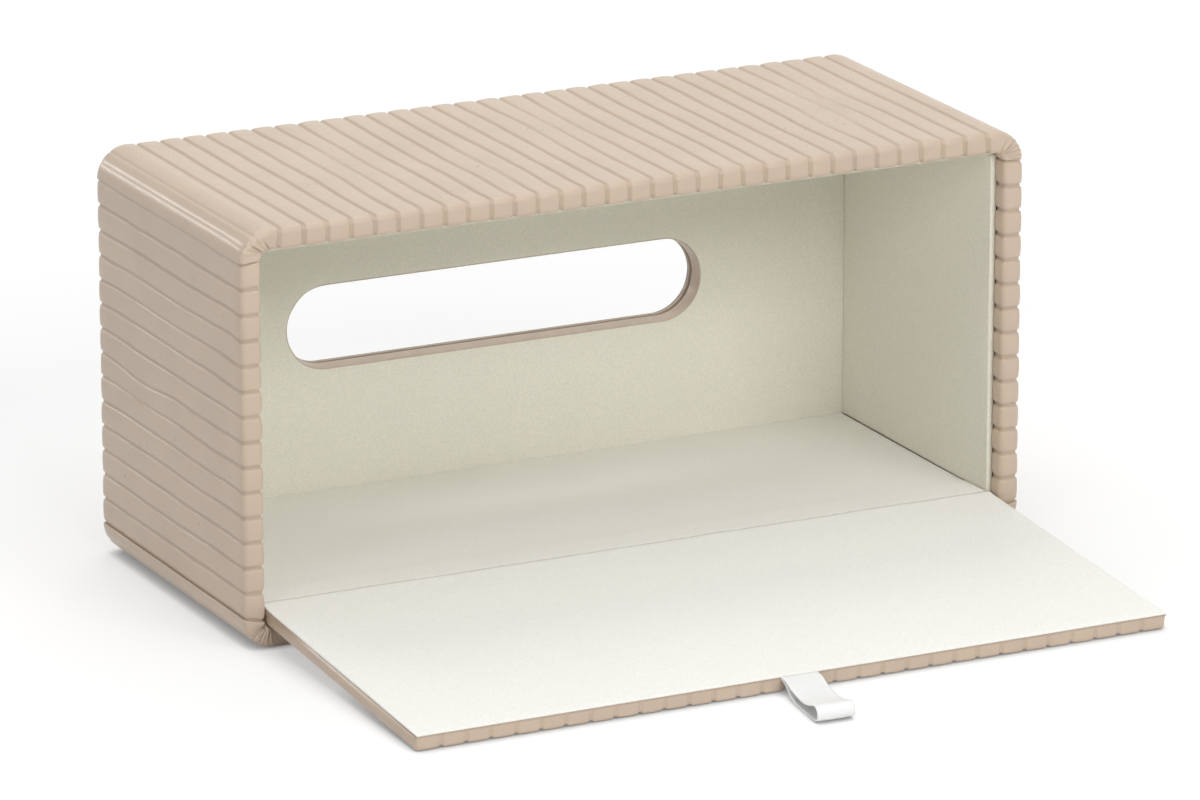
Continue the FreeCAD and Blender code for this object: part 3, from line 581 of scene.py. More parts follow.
def pleat_depth(x, z):
    """Depth and shade of the gathers that fan out from the opening's corners."""
    depth, share = np.zeros((2, len(x)))
    for (across, upward), pleats in PLEATS.items():
        out_z = upward * (z - MIDDLE) - (MIDDLE - PLEAT_ROOT)
        for angle, reach, deep, half, along in pleats:
            out_x = across * x - (HALF - PLEAT_ROOT) - along
            away = np.hypot(out_x, out_z)
            turn = np.arctan2(out_z, out_x) - math.radians(angle)
            beside = away * np.sin(turn - 0.05 * np.sin(away))
            window = smooth((away - 0.3) / 0.7) * (1 - smooth((away / reach - 0.45) / 0.55))
            window *= (np.cos(turn) > 0) & (away < PLEAT_LONGEST)
            fold = np.exp(-((beside / (half + 0.025 * away)) ** 2)) * window
            depth += deep * fold
            share = np.maximum(share, fold * min(1.0, deep / FULL_SHADE_DEPTH))
    return depth, share


def pinch_shift(name, place, y):
    """How ribs lean towards a drawn-together place, its dimples, and how the ribs fade."""
    shift, dimple, fade = np.zeros_like(place), np.zeros_like(place), np.ones_like(place)
    for side, middle, level, wide, long, pull in PINCHES:
        if side != name:
            continue
        across, along = (place - middle) / wide, (y - level) / long
        near = np.exp(-across ** 2 - along ** 2)
        shift -= pull * across * near * 1.3
        dimple += abs(pull) * 0.15 * near * (0.5 + 0.5 * np.sin(place * 1.5 + y * 0.6))
        dimple += abs(pull) * 0.16 * near ** 2 * np.clip(np.sin(place * 2.3 - y * 0.8), 0, 1)
        fade -= 0.3 * abs(pull) * near
    return shift, dimple, np.clip(fade, 0.25, 1.0)


def padded_wall(mm, index, along, y):
    """How deep a wall's surface lies, how far it is in a groove, and its shift sideways."""
    wall = SIDES[index]
    pitch, reach, grooves = wall_ribs(mm, wall.long_wall)
    under, groove = rib_section(mm, along, pitch, grooves)
    ends = smooth((reach - np.abs(along)) / 16)
    lean, dimple, fade = pinch_shift(wall.name, along, y)
    if wall.name == "bottom":
        by_corner = smooth((np.abs(along) - reach + 14) / 5)
        fade *= 1 - by_corner * (1 - smooth((y - FRONT - 5) / 8))
    under, groove = under * fade, groove * fade
    wander = ripple(along, y, 11 + index, 34) * mm.wander
    slip = (wander + lean) * ends * smooth((y - FRONT - 1) / 9)
    lumps = 0.07 * np.maximum(1 + ripple(along, y, 31 + index, 13), 0)
    return under + (lumps + dimple * ends) * (1 - groove), groove, slip


def sleeve_place(mm):
    """The function that shapes the sleeve, and the size of its grid."""
    stations, (rows, shown) = sleeve_stations(mm), lip_profile(mm)

    def place(column, row):
        side, along, turn = stations[column].T
        y, inset, out_y, out_in = rows[row].T
        visible = row < shown
        sink, share, slip = np.zeros((3, len(y)))
        for index in range(len(SIDES)):
            flat = (side == index) & (turn == 0)
            sink[flat], share[flat], slip[flat] = padded_wall(mm, index, along[flat], y[flat])
        for deep, middle, wide in CORNER_CREASES:
            crease = deep * np.exp(-((turn - middle) / wide) ** 2)
            sink += crease * (turn > 0) * (inset < 4)
        sink += 0.048 * np.sqrt(np.abs(np.sin(turn * math.pi))) * smooth((2 - inset) / 2)
        # Painted shade: where grooves end against the lining, at the turned-in edge, their painted
        # shade is doubled
        painted_notch_shade = (out_in > 0.5) & (y > LINER_FRONT - 1.6)
        share *= np.where(painted_notch_shade, 2.0, 1.0)
        pleat, fold = pleat_depth(*outline(stations[column], inset, slip))
        front = y < FRONT + 5.6
        sink = (sink + pleat * front) * visible
        # share is painted shade in the grooves and pleats, written out as the groove attribute
        share = np.maximum(share, fold * front) * visible
        x, z = outline(stations[column], inset - sink * out_in, slip)
        return (x, y - sink * out_y, z), share

    return place, len(stations), len(rows)


def outline(station, inset, slip):
    """Where a column stands, seen from the front, at an inset from the case's outside."""
    side, along, turn = station.T
    angle = turn * math.pi / 2
    x, z = np.zeros((2, len(inset)))
    for index, wall in enumerate(SIDES):
        reach, out = (HALF - CORNER, MIDDLE) if wall.long_wall else (MIDDLE - CORNER, HALF)
        is_lower = -1 in (wall.out_z, SIDES[(index + 1) % len(SIDES)].out_z)
        inner_radius = 1.4 if is_lower else 2.2
        radius = CORNER - (CORNER - inner_radius) * np.clip(inset / WALL, 0, 1.2)
        stretch = CORNER - inset - radius
        a = along + slip
        moved = a + np.sign(a) * stretch * smooth((np.abs(a) - (reach - 12)) / 12)
        ahead = np.where(turn > 0, reach + stretch + radius * np.sin(angle), moved)
        up = out - inset - radius * (1 - np.cos(angle))
        x = np.where(side == index, wall.along_x * ahead + wall.out_x * up, x)
        z = np.where(side == index, wall.along_z * ahead + wall.out_z * up, z)
    return x, z + MIDDLE


# ---- shared steps ----------------------------------------------------------------
class BuildPiece:
    """What every operator of this box shares."""

    bl_options = {"REGISTER", "UNDO"}

    @property
    def sizes(self):
        return bpy.context.scene.tissue_box_sizes

    @property
    def mm(self):
        """The sizes in millimetres."""
        names = TissueBoxSizes.__annotations__
        return SimpleNamespace(**{name: getattr(self.sizes, name) * 1000 for name in names})


def dress(piece, body, slot, *nodes, use=None):
    """Gives a finished piece the material of its slot, puts it on its body and hides the nodes it
    stands for.
    """
    piece.data.materials.clear()
    piece.data.materials.append(material(use or slot))
    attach(piece, body)
    if nodes:
        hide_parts(*nodes)


def slot_cutter(radius, near, far):
    """A closed bar in the shape of the slot, between two y levels in millimetres."""
    bm = bmesh.new()
    bmesh.ops.create_circle(bm, cap_ends=True, segments=SLOT_STEPS, radius=radius)
    for vert in bm.verts:
        vert.co.x += SLOT_REACH if vert.co.x > 1e-4 else -SLOT_REACH
    made = bmesh.ops.extrude_face_region(bm, geom=bm.faces[:], use_keep_orig=True)
    raised = [item for item in made["geom"] if isinstance(item, bmesh.types.BMVert)]
    bmesh.ops.translate(bm, verts=raised, vec=(0, 0, 1))
    for vert in bm.verts:
        x, z, share = vert.co
        vert.co = Vector((x, near + (far - near) * share, z + MIDDLE)) / 1000
    bm.normal_update()
    bmesh.ops.recalc_face_normals(bm, faces=bm.faces)
    return finished(bm, bpy.data.meshes.new("slot_cutter"), False)


def cut(piece, cutter):
    """Takes the cutter's shape out of the piece and removes the cutter."""
    modifier = piece.modifiers.new("opening", "BOOLEAN")
    modifier.operation, modifier.solver, modifier.object = "DIFFERENCE", "EXACT", cutter
    bpy.context.view_layer.update()
    whole = piece.evaluated_get(bpy.context.evaluated_depsgraph_get())
    mesh = bpy.data.meshes.new_from_object(whole)
    piece.modifiers.clear()
    old, name = piece.data, piece.data.name
    piece.data = mesh
    bpy.data.meshes.remove(old)
    mesh.name = name
    bpy.data.objects.remove(cutter)


def edged(low, middle, high, steps):
    """Places from low to high: steps in from both ends, with the middle ones between."""
    steps = np.array(steps)
    return np.concatenate([low + steps, middle, high - steps[::-1]])


def panel_stations(low, high):
    """Places across a panel of cloth, close together at its rounded rims."""
    return edged(low, np.linspace(low + 1.5, high - 1.5, 24), high, (0, 0.06, 0.2, CLOTH_RIM))


def from_hinge(y, z):
    """A place drawn on the level door, in millimetres from the hinge line, as it hangs open."""
    sine, cosine = math.sin(DOOR_SLOPE), math.cos(DOOR_SLOPE)
    return HINGE_Y + y * cosine - z * sine, HINGE_Z + y * sine + z * cosine


# ---- operators -------------------------------------------------------------------
class TISSUEBOX_OT_sleeve(BuildPiece, bpy.types.Operator):
    """Wraps the case in ribbed, padded leathercloth, turned in round the front lip"""

    bl_idname = "tissue_box.sleeve"
    bl_label = "Ribbed sleeve"

    def execute(self, context):
        place, columns, rows = sleeve_place(self.mm)
        piece = lofted("ribbed_sleeve", columns, rows, place)
        dress(piece, "case", "leathercloth", "outer_cover")
        return {"FINISHED"}


class TISSUEBOX_OT_rear_cover(BuildPiece, bpy.types.Operator):
    """Covers the slotted wall with upright ribs"""

    bl_idname = "tissue_box.rear_cover"
    bl_label = "Rear cover"

    def execute(self, context):
        mm = self.mm
        edge = mm.rear_round + 0.3
        wide, high, corner = HALF - edge, MIDDLE - edge, CORNER - edge
        pitch, _, grooves = wall_ribs(mm, True)
        xs = rib_stations(mm, wide, pitch, grooves)
        middle = np.linspace(-high + 9, high - 9, 26)
        zs = edged(-high, middle, high, (0, 0.15, 0.45, 0.9, 1.6, 2.6, 4.2, 6.3))
        loop = np.concatenate([zs, zs[::-1]])

        def place(column, row):
            x, z, outside = xs[column], loop[row], row < len(zs)
            under, share = rib_section(mm, x, pitch, grooves)
            to_side, to_top = wide - np.abs(x), high - np.abs(z)
            turned = bulge(1 - np.clip(np.minimum(to_side, to_top) / 1.6, 0, 1), 1.3)
            lumps = 0.05 * (1 + ripple(x, z, 51, 15)) * (1 - share)
            slip = 0.8 * mm.wander * ripple(x, z, 52, 36) * smooth(to_side / 14)
            y = np.where(outside, BACK - under - lumps - turned, BACK - SKIN)
            out_x, out_z = (np.clip(1 - away / corner, 0, 1) for away in (to_side, to_top))
            in_x = corner * out_x * (1 - np.sqrt(1 - out_z ** 2 / 2))
            in_z = corner * out_z * (1 - np.sqrt(1 - out_x ** 2 / 2))
            x = x - np.sign(x) * in_x + slip * smooth(to_top / 12)
            # share is painted shade in the grooves, written out as the groove attribute
            return (x, y, z - np.sign(z) * in_z + MIDDLE), share * outside

        piece = lofted("ribbed_rear", len(xs), len(loop), place, fill_ends=True)
        cut(piece, slot_cutter(SLOT_RADIUS - 0.25, BACK - 8, BACK + 4))
        dress(piece, "case", "leathercloth", "slot_cover")
        return {"FINISHED"}


class TISSUEBOX_OT_door_cover(BuildPiece, bpy.types.Operator):
    """Wraps the underside and edges of the door in ribbed leathercloth"""

    bl_idname = "tissue_box.door_cover"
    bl_label = "Door cover"

    def execute(self, context):
        mm = self.mm
        pitch = mm.pitch_door
        grooves = int(2 * DOOR_HALF / pitch) - 1
        xs = rib_stations(mm, DOOR_HALF - 1.2, pitch, grooves)
        xs = edged(-DOOR_HALF, xs, DOOR_HALF, (0, 0.08, 0.3, 0.65))
        low, top, inside = -DOOR_THICK, -CLOTH, -DOOR_LINING
        turn, root_turn, inner_turn = 0.9, 1.9, 1.2
        root = DOOR_ROOT - root_turn
        rows = [(DOOR_TIP + 0.45, top, -1, 0), (DOOR_TIP + 0.1, top - 0.08, -1, 0)]
        rows += run((DOOR_TIP, top - 0.1), (DOOR_TIP, low + turn), 10, (-1, 0))
        rows += rounded_turn((DOOR_TIP + turn, low + turn), turn, 180, 270, 5)
        rows += run((DOOR_TIP + turn, low), (root, low), 30, (0, -1))
        rows += rounded_turn((root, low + root_turn), root_turn, -90, 0, 6)
        rows += rounded_turn((DOOR_ROOT - inner_turn, top - inner_turn), inner_turn, 0, 90, 5)
        covered = len(rows)
        hidden = ((DOOR_ROOT - 1.6, top), (DOOR_ROOT - 1.7, inside), (DOOR_TIP / 2, inside),
                  (DOOR_TIP + 1.3, inside), (DOOR_TIP + 1.2, top))
        rows = np.array(rows + [(*spot, 0, 1) for spot in hidden])

        def place(column, row):
            x, shown = xs[column], row < covered
            y, z, out_y, out_z = rows[row].T
            below = smooth(-out_z)
            under, share = rib_section(mm, x, pitch, grooves, 0.6 + 0.3 * below, 0.6, 0.55, 0.4)
            lumps = 0.04 * (1 + ripple(x, y, 71, 14)) * (1 - share)
            to_end = DOOR_HALF - np.abs(x)
            slip = 0.8 * mm.wander * ripple(x, y, 72, 34)
            slip = slip * smooth(to_end / 14) * smooth((y - DOOR_TIP) / 9)
            fade = smooth((top - 0.1 - z) / 0.5)
            at_end = np.clip(1 - to_end / 1.1, 0, 1)
            z = np.where(shown | (at_end == 0), z, top)
            rounding = bulge(at_end, 0.8) * smooth((top - 0.3 - z) / 0.8)
            sink = ((under + lumps) * fade * (at_end == 0) + rounding) * shown
            world_y, world_z = from_hinge(y - sink * out_y, z - sink * out_z)
            # Painted shade: a dark line on the leathercloth just under the cloth's edge, and the
            # groove shade weaker off the underside
            painted_cloth_edge_shade = 1.9 * smooth((z - top + 0.7) / 0.4)
            share = np.maximum(share * (0.4 + 0.6 * below) * fade, painted_cloth_edge_shade)
            return (x + slip * shown, world_y, world_z), share * shown

        piece = lofted("ribbed_door", len(xs), len(rows), place, fill_ends=True)
        dress(piece, "door", "leathercloth", "door_cover")
        return {"FINISHED"}


# The edging's section: y from its inner end, how far out it stands and how much painted shade
# darkens it there.
EDGING_SECTION = (
    (1.4, -0.34, 0.0), (3.0, -0.5, 0.0), (4.3, -0.64, 0.0), (4.8, -0.58, 0.1),
    (5.1, -0.36, 0.5), (5.4, -0.05, 0.8), (6.0, 0.08, 0.9), (6.4, -0.05, 0.7),
    (6.6, -0.4, 0.3), (6.8, -0.6, 0.0), (7.1, -0.66, 0.0), (7.35, -0.6, 0.1),
    (7.5, -0.45, 0.9), (7.7, -0.42, 1.0),
)


class TISSUEBOX_OT_edging(BuildPiece, bpy.types.Operator):
    """Rolls a leather edging round the inside of the slot"""

    bl_idname = "tissue_box.edging"
    bl_label = "Slot edging"

    def execute(self, context):
        middle = SLOT_RADIUS - self.mm.trim / 2
        near, far = BACK_CLOTH + 0.02, BACK + 0.1
        rows = rounded_turn((near + 0.32, 0.1), 0.32, 100, 255, 7)
        # Painted shade: dark sets how far the edging is darkened, at the rolled inner end by the
        # lining, in the dip and round the far rolled end
        dark = [0.8, 0.5, 0.1] + [0.0] * 5
        rows += [(near + y, out, 0, 0) for y, out, _ in EDGING_SECTION]
        dark += [tone for _, _, tone in EDGING_SECTION]
        rows += rounded_turn((far - 0.55, 0.05), 0.55, -90, 80, 7)
        dark += [0.9] * 8
        rows = np.array(rows + [(far - 2.0, 0.5, 0, 0), (near + 2.0, 0.5, 0, 0)])
        dark = np.array(dark + [0.0, 0.0])

        def place(column, row):
            angle = 2 * math.pi / SLOT_STEPS * (column % SLOT_STEPS)
            y, out = rows[row, :2].T
            radius = middle + out + 0.05 * ripple(angle * 20, y, 81, 12)
            centre = np.where(np.cos(angle) > 1e-6, SLOT_REACH, -SLOT_REACH)
            x, z = centre + radius * np.cos(angle), MIDDLE + radius * np.sin(angle)
            return (x, y, z), dark[row]

        piece = lofted("slot_edging", SLOT_STEPS + 1, len(rows), place)
        dress(piece, "case", "edging", "slot_trim")
        return {"FINISHED"}


def cloth_round_card(name, axis, low, high, face, sign):
    """Lining cloth that lies on a card and turns round its front edge.

    The panel runs along the axis from low to high. face is where the cloth's own face
    lies, and sign the way from there to the card.
    """
    stations, bend, card_back = panel_stations(low, high), 0.55, 1.9
    rows = [(BACK_CLOTH - 0.02, 0.25), (BACK_CLOTH - 0.3, 0.0), (BACK_CLOTH - 1.2, 0.0),
            (20.0, 0.0), (-10.0, 0.0), (-40.0, 0.0)]
    turned = rounded_turn((LINER_FRONT + bend, bend), bend, 270, 180, 5)
    rows += [(y, depth) for y, depth, _, _ in turned]
    rows = np.array(rows + [(LINER_FRONT, card_back), (LINER_FRONT + CLOTH, card_back),
                            (LINER_FRONT + CLOTH, CLOTH), (BACK_CLOTH, CLOTH)])

    def place(column, row):
        along = stations[column]
        y, depth = rows[row].T
        rim = np.clip(1 - np.minimum(along - low, high - along) / CLOTH_RIM, 0, 1)
        sag = 0.04 * (1 + ripple(along, y, 91, 45)) * (depth == 0)
        across = face + sign * (depth + bulge(rim, 0.35) * (depth < 0.3) + sag)
        return ((along, y, across) if axis == "X" else (across, y, along)), 0.0

    return lofted(name, len(stations), len(rows), place, fill_ends=True)


class TISSUEBOX_OT_wall_linings(BuildPiece, bpy.types.Operator):
    """Lines the end walls, the ceiling and the slotted wall with microfibre"""

    bl_idname = "tissue_box.wall_linings"
    bl_label = "Wall linings"

    def execute(self, context):
        low, high, inner = FLOOR - 0.1, TOP - LINED - 0.1, HALF - SHELL
        for name, side in (("left", -1), ("right", 1)):
            face = (HALF - LINED) * side
            piece = cloth_round_card(name + "_wall_cloth", "Z", low, high, face, side)
            dress(piece, "case", "lining", name + "_lining")
        piece = cloth_round_card("ceiling_cloth", "X", -inner, inner, TOP - LINED, 1)
        dress(piece, "case", "lining", "ceiling_lining")
        bm = bmesh.new()
        bmesh.ops.create_cube(bm, size=1.0)
        size = Vector((2 * inner, CLOTH, TOP - 2 * SHELL)) / 1000
        bmesh.ops.scale(bm, vec=size, verts=bm.verts)
        middle = Vector((0, BACK_CLOTH + CLOTH / 2, MIDDLE)) / 1000
        bmesh.ops.translate(bm, vec=middle, verts=bm.verts)
        piece = finished(bm, bpy.data.meshes.new("rear_cloth"), False)
        cut(piece, slot_cutter(SLOT_RADIUS - 0.44, BACK_CLOTH - 3, BACK_CLOTH + 3))
        dress(piece, "case", "lining", "back_lining")
        return {"FINISHED"}


# The floor and door cloth in millimetres. On the floor: y and z. By the hinge: y and the
# height over the hinge. On the door: how far out from the hinge line and over its face,
# and past the door's tip: how far in from it and over the face.
FLOOR_ROWS = ((BACK_CLOTH, FLOOR - 0.2), (BACK_CLOTH - 0.4, FLOOR), (30, FLOOR), (10, FLOOR),
              (-10, FLOOR), (-28, FLOOR), (-32.6, FLOOR), (-34.5, FLOOR + 0.25))
HINGE_ROWS = ((-36.4, 0), (-40, 0.05), (-44, 0.1), (-46.5, 0.12), (-47.7, 0.13), (-48.1, 0.09),
              (-48.3, -0.06), (-48.42, -0.4), (-48.58, -0.44))
DOOR_ROWS = ((-0.26, -0.08), (-0.45, 0.06), (-0.9, 0.12), (-2.0, 0.09), (-4.5, 0.0), (-10, 0),
             (-30, 0), (-55, 0), (-80, 0), (-100, 0))
TIP_ROWS = ((0.8, 0), (0.35, -0.03), (0.08, -0.14), (0, -0.3), (0, -0.48), (0.1, -CLOTH))
DOOR_UNDER = ((-100, -CLOTH), (-50, -CLOTH), (-4, -CLOTH), (-0.55, -CLOTH), (-0.3, -0.75))
FLOOR_UNDER = ((-48.3, HINGE_Z - 0.8), (-47.9, HINGE_Z - 0.58), (-36, HINGE_Z - CLOTH),
               (-33, FLOOR - CLOTH), (0, FLOOR - CLOTH), (BACK_CLOTH, FLOOR - CLOTH))
CREASE_SHADE = (0.2, 0.5, 0.7, 0.7, 0.6, 0.2)


class TISSUEBOX_OT_floor_cloth(BuildPiece, bpy.types.Operator):
    """Lays one cloth over the floor, the hinge crease and the door, and faces the riser"""

    bl_idname = "tissue_box.floor_cloth"
    bl_label = "Floor and door lining"

    def execute(self, context):
        rows = [*FLOOR_ROWS, *((y, HINGE_Z + up) for y, up in HINGE_ROWS)]
        root = len(rows)
        rows += [from_hinge(*spot) for spot in DOOR_ROWS]
        rows += [from_hinge(DOOR_TIP + inward, over) for inward, over in TIP_ROWS]
        upper_end = len(rows) - 2
        rows += [from_hinge(*spot) for spot in DOOR_UNDER]
        door_end = len(rows)
        rows = np.array([*rows, *FLOOR_UNDER])
        share = panel_stations(-DOOR_HALF, DOOR_HALF)
        # Painted shade along the hinge crease, written out as the groove attribute
        crease = np.zeros(len(rows))
        crease[root - 4:root + 2] = CREASE_SHADE

        def place(column, row):
            across, (y, z) = share[column], rows[row].T
            on_door = (row >= root) & (row < door_end)
            x = across * np.where(on_door, 1.0, (HALF - LINED - 0.06) / DOOR_HALF)
            rim = np.clip(1 - (DOOR_HALF - np.abs(across)) / CLOTH_RIM, 0, 1)
            drop = bulge(rim, 0.42)
            drop += 0.05 * (1 + ripple(x, y, 95, 60)) * (np.abs(y - HINGE_Y) > 2)
            near = np.exp(-(((y - HINGE_Y) / 2.6) ** 2))
            drop += near * 0.10 * ripple(x, y * 0.2, 96, 22)
            return (x, y, z - drop * (row < upper_end)), crease[row]

        piece = lofted("floor_and_door_cloth", len(share), len(rows), place, fill_ends=True)
        piece.data.materials.append(material("floor_lining"))
        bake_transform(piece)
        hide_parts("floor_lining", "door_lining")
        front, back = LINER_FRONT + 0.08, LINER_FRONT + 0.58
        fold = np.array([(back, SHELL + 0.1), (front + 0.1, SHELL + 0.1), (front, SHELL + 0.3),
                         (front, WALL), (front, FLOOR - 3), (front, FLOOR - 1.2),
                         (front + 0.12, FLOOR - CLOTH), (back, FLOOR - 0.45)])
        stations = panel_stations(SHELL - HALF, HALF - SHELL)

        def fold_place(column, row):
            x, (y, z) = stations[column], fold[row].T
            return (x, y + 0.03 * ripple(x, z, 97, 26) * (y < back), z), 0.0

        piece = lofted("riser_cloth", len(stations), len(fold), fold_place, fill_ends=True)
        dress(piece, "case", "lining", use="floor_lining")
        return {"FINISHED"}


def flowing(points, steps):
    """Points of a smooth line through the given ones."""
    points = np.array(points, float)
    padded = np.vstack([2 * points[0] - points[1], points, 2 * points[-1] - points[-2]])
    line = []
    for a, b, c, d in zip(padded, padded[1:], padded[2:], padded[3:]):
        for t in np.arange(steps) / steps:
            line.append(0.5 * (2 * b + (c - a) * t + (2 * a - 5 * b + 4 * c - d) * t ** 2
                               + (3 * b - a - 3 * c + d) * t ** 3))
    return np.array(line + [points[-1]])


# The ribbon's loop: how far out past the door's tip, and how high over the ground.
RIBBON_LOOP = (
    (3, 4.15), (8, 3.5), (13, 2.95), (17.5, 2.85), (21, 3.3), (24, 4.1), (26.4, 4.75),
    (28.2, 4.7), (29.5, 3.8), (29.85, 2.5), (29.3, 1.2), (27.6, 0.4), (24.5, 0.2), (19.5, 0.2),
    (14.5, 0.22), (10, 0.4), (6.2, 1.35), (2.9, 2.85),
)
RIBBON_HELD = np.array((0, 5, 11))
RIBBON_COLUMNS = 17


class TISSUEBOX_OT_ribbon(BuildPiece, bpy.types.Operator):
    """Folds a satin ribbon into the pull at the door's free edge"""

    bl_idname = "tissue_box.ribbon"
    bl_label = "Pull ribbon"

    def execute(self, context):
        sizes = self.sizes
        (tip_y, upper), (_, lower) = from_hinge(DOOR_TIP, -0.8), from_hinge(DOOR_TIP, -1.2)
        held_y, rise = tip_y + RIBBON_HELD, RIBBON_HELD * math.tan(DOOR_SLOPE)
        route = [*zip(held_y[::-1], upper + rise[::-1])]
        route += [(tip_y - out, up) for out, up in RIBBON_LOOP]
        route += zip(held_y, lower + rise)
        line = flowing(route, 7)
        steps = np.concatenate([[0], np.cumsum(np.hypot(*np.diff(line, axis=0).T))])
        mesh, column, row = grid("satin_pull", RIBBON_COLUMNS, len(line))
        across = 2 * column / (RIBBON_COLUMNS - 1) - 1
        (y, z), along = line[row].T, steps[row]
        out = tip_y - y
        loose = smooth(out / 8)
        x = across * self.mm.ribbon_wide / 2 - loose * 0.13 * out
        y = y + loose * 0.22 * across * np.sin(along * 0.11)
        z = z + loose * (0.10 * across ** 2 - 0.04) * np.sign(1.6 - z)
        shape(mesh, (x, y, np.maximum(z, 0.17)), across=across, along=along / 1000)
        piece = linked(mesh)
        solid = piece.modifiers.new("thickness", "SOLIDIFY")
        solid.thickness, solid.offset = sizes.ribbon_thick, 0.0
        dress(piece, "door", "ribbon", "pull_ribbon")
        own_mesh(piece)
        return {"FINISHED"}


class TISSUEBOX_OT_inner_pieces(BuildPiece, bpy.types.Operator):
    """Gives the boards, cards, tape and magnets their finishes"""

    bl_idname = "tissue_box.inner_pieces"
    bl_label = "Inner pieces"

    def execute(self, context):
        for part in frame["record"]["subparts"]:
            node = frame["nodes"][part["node"]]
            node.data.materials.clear()
            node.data.materials.append(material(part["material_slot"]))
        return {"FINISHED"}


# ---- stage -----------------------------------------------------------------------
# Angles in degrees and lengths in metres, but the lens in millimetres.
CAMERA = {
    "target": (0.00615, -0.014, 0.04815), "azimuth": -26.52, "elevation": 16.97,
    "away": 2.4291, "lens": 240.44,
}
LAMP_TARGET = (0, -0.03, 0.05)
# Name, place, width and height in metres, power in watts and whether only gloss sees it.
LAMPS = (
    ("overhead", (0.0, -0.35, 1.5), (1.4, 1.2), 7.5, False),
    ("behind_overhead", (0.0, 0.7, 1.4), (1.4, 0.8), 8.3, False),
    ("front", (0.15, -1.5, 0.95), (1.2, 0.5), 11.8, False),
    ("front_left", (-1.5, -1.0, 0.7), (0.4, 0.4), 2.0, False),
    ("left", (-1.7, 0.1, 0.8), (0.4, 0.4), 0.5, False),
    ("low_behind", (0.75, 1.45, 0.5), (1.5, 0.5), 0.4, False),
    ("gleam_front", (-1.4, -0.95, 0.92), (0.4, 0.15), 20.0, True),
    ("gleam_left", (-0.8, 1.5, 0.4), (0.5, 0.14), 2.6, True),
)
SKY_STRENGTH = 0.315


def backdrop_share(tree):
    """How far a ray shows the backdrop instead of being lit by it."""
    rays = tree.nodes.new("ShaderNodeLightPath")
    share = rays.outputs["Is Camera Ray"]
    for name in ("Is Glossy Ray", "Is Transmission Ray"):
        either = tree.nodes.new("ShaderNodeMath")
        either.operation = "MAXIMUM"
        tree.links.new(share, either.inputs[0])
        tree.links.new(rays.outputs[name], either.inputs[1])
        share = either.outputs[0]
    return share


def split_by_ray(tree, lighting, shown, output):
    """Gives an output one shader for the light it sends out and one for how it is seen."""
    mix = tree.nodes.new("ShaderNodeMixShader")
    for socket, place in zip((backdrop_share(tree), lighting, shown), mix.inputs):
        tree.links.new(socket, place)
    tree.links.new(mix.outputs[0], tree.nodes[output].inputs["Surface"])


def backdrop_finish():
    """A white floor that keeps a pale shadow, with painted contact shade where occlusion darkens
    it close to things, and stays white into the distance.
    """
    finish = Finish("floor_white")
    finish.set(Base_Color=(0.88, 0.88, 0.88, 1), Roughness=0.9, Specular_IOR_Level=0.0)
    away = finish.add("ShaderNodeVectorMath")
    away.operation = "LENGTH"
    finish.feed(away, 0, finish.place)
    # Painted shade: occlusion within 5 mm darkens both the lit and the glowing floor, a painted
    # contact shadow
    contact_shade = finish.add("ShaderNodeAmbientOcclusion", Distance=0.005)
    contact_shade.samples = 8
    near = finish.remap(contact_shade.outputs["AO"], 0.05, 0.75, 0.4, 1.0)
    lit = finish.add("ShaderNodeBsdfDiffuse", Color=finish.maths("MULTIPLY", near, 0.56))
    glow = finish.remap(away.outputs["Value"], 0.3, 1.6, 0.445, 0.77)
    glow = finish.add("ShaderNodeEmission", Strength=finish.maths("MULTIPLY", near, glow))
    both = finish.add("ShaderNodeAddShader")
    finish.feed(both, 0, lit.outputs[0])
    finish.feed(both, 1, glow.outputs[0])
    split_by_ray(finish.tree, finish.shader.outputs[0], both.outputs[0], "Material Output")
    return finish.material


def aimed(name, data, place, target):
    """Puts a lamp or a camera at a place, facing a target."""
    item = bpy.data.objects.new(name, data)
    item.location = place
    item.rotation_euler = (Vector(target) - Vector(place)).to_track_quat("-Z", "Y").to_euler()
    bpy.context.scene.collection.objects.link(item)
    return item


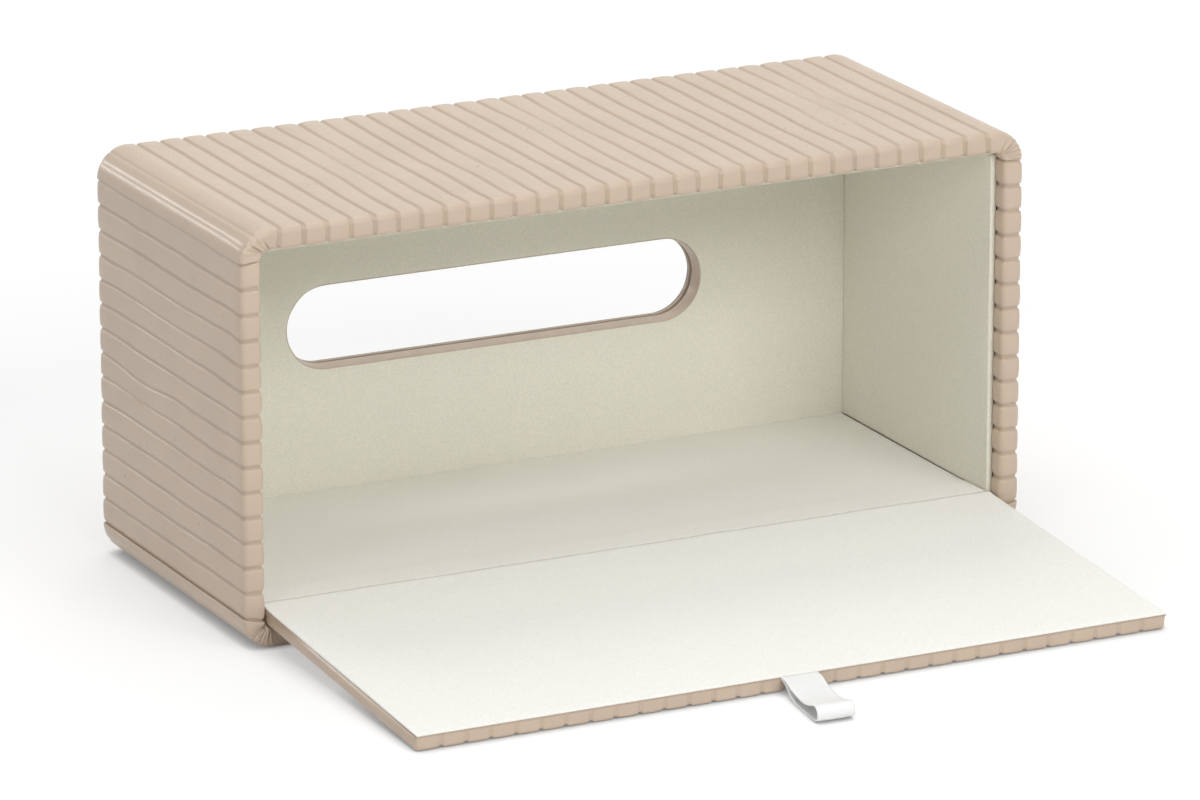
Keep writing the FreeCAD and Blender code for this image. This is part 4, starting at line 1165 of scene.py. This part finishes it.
class TISSUEBOX_OT_stage(BuildPiece, bpy.types.Operator):
    """Sets the pale floor, the soft lights and the camera"""

    bl_idname = "tissue_box.stage"
    bl_label = "Stage"

    def execute(self, context):
        scene = bpy.context.scene
        bm = bmesh.new()
        bmesh.ops.create_grid(bm, x_segments=1, y_segments=1, size=20.0)
        floor = finished(bm, bpy.data.meshes.new("floor"), False)
        floor.location.z = -0.0001
        floor.data.materials.append(backdrop_finish())

        world = scene.world = bpy.data.worlds.new("studio")
        world.use_nodes = True
        sky = world.node_tree.nodes["Background"]
        sky.inputs["Color"].default_value = (1, 1, 1, 1)
        sky.inputs["Strength"].default_value = SKY_STRENGTH
        seen = world.node_tree.nodes.new("ShaderNodeBackground")
        split_by_ray(world.node_tree, sky.outputs[0], seen.outputs[0], "World Output")

        for name, place, (wide, high), power, only_gloss in LAMPS:
            lamp = bpy.data.lights.new(name, "AREA")
            lamp.shape, lamp.size, lamp.size_y, lamp.energy = "RECTANGLE", wide, high, power
            aimed(name, lamp, place, LAMP_TARGET).visible_diffuse = not only_gloss

        azimuth, elevation = (math.radians(CAMERA[key]) for key in ("azimuth", "elevation"))
        level = math.cos(elevation)
        back = Vector((math.sin(azimuth) * level, -math.cos(azimuth) * level, math.sin(elevation)))
        target = Vector(CAMERA["target"])
        place = target + back * CAMERA["away"]
        scene.camera = aimed("camera", bpy.data.cameras.new("camera"), place, target)
        camera = scene.camera.data
        camera.lens, camera.sensor_width = CAMERA["lens"], 36.0
        camera.clip_start, camera.clip_end = 0.05, 60.0
        scene.view_settings.view_transform = "Standard"
        return {"FINISHED"}


class TISSUEBOX_PT_panel(bpy.types.Panel):
    """Lists the sizes, colours and pieces of the tissue box"""

    bl_label = "Tissue box"
    bl_idname = "TISSUEBOX_PT_panel"
    bl_space_type = "VIEW_3D"
    bl_region_type = "UI"
    bl_category = "Tissue box"

    def draw(self, context):
        for group in (context.scene.tissue_box_sizes, context.scene.tissue_box_colours):
            column = self.layout.column(align=True)
            for name in group.__annotations__:
                column.prop(group, name)
        for operator in OPERATORS:
            self.layout.operator(operator.bl_idname)


OPERATORS = (
    TISSUEBOX_OT_sleeve,
    TISSUEBOX_OT_rear_cover,
    TISSUEBOX_OT_door_cover,
    TISSUEBOX_OT_edging,
    TISSUEBOX_OT_wall_linings,
    TISSUEBOX_OT_floor_cloth,
    TISSUEBOX_OT_ribbon,
    TISSUEBOX_OT_inner_pieces,
    TISSUEBOX_OT_stage,
)
CLASSES = (TissueBoxSizes, TissueBoxColours, *OPERATORS, TISSUEBOX_PT_panel)


def register():
    for item in CLASSES:
        bpy.utils.register_class(item)
    bpy.types.Scene.tissue_box_sizes = bpy.props.PointerProperty(type=TissueBoxSizes)
    bpy.types.Scene.tissue_box_colours = bpy.props.PointerProperty(type=TissueBoxColours)


def unregister():
    del bpy.types.Scene.tissue_box_sizes
    del bpy.types.Scene.tissue_box_colours
    for item in reversed(CLASSES):
        bpy.utils.unregister_class(item)


def main():
    register()
    bpy.ops.tissue_box.sleeve()
    bpy.ops.tissue_box.rear_cover()
    bpy.ops.tissue_box.door_cover()
    bpy.ops.tissue_box.edging()
    bpy.ops.tissue_box.wall_linings()
    bpy.ops.tissue_box.floor_cloth()
    bpy.ops.tissue_box.ribbon()
    bpy.ops.tissue_box.inner_pieces()
    bpy.ops.tissue_box.stage()


if __name__ == "__main__":
    main()
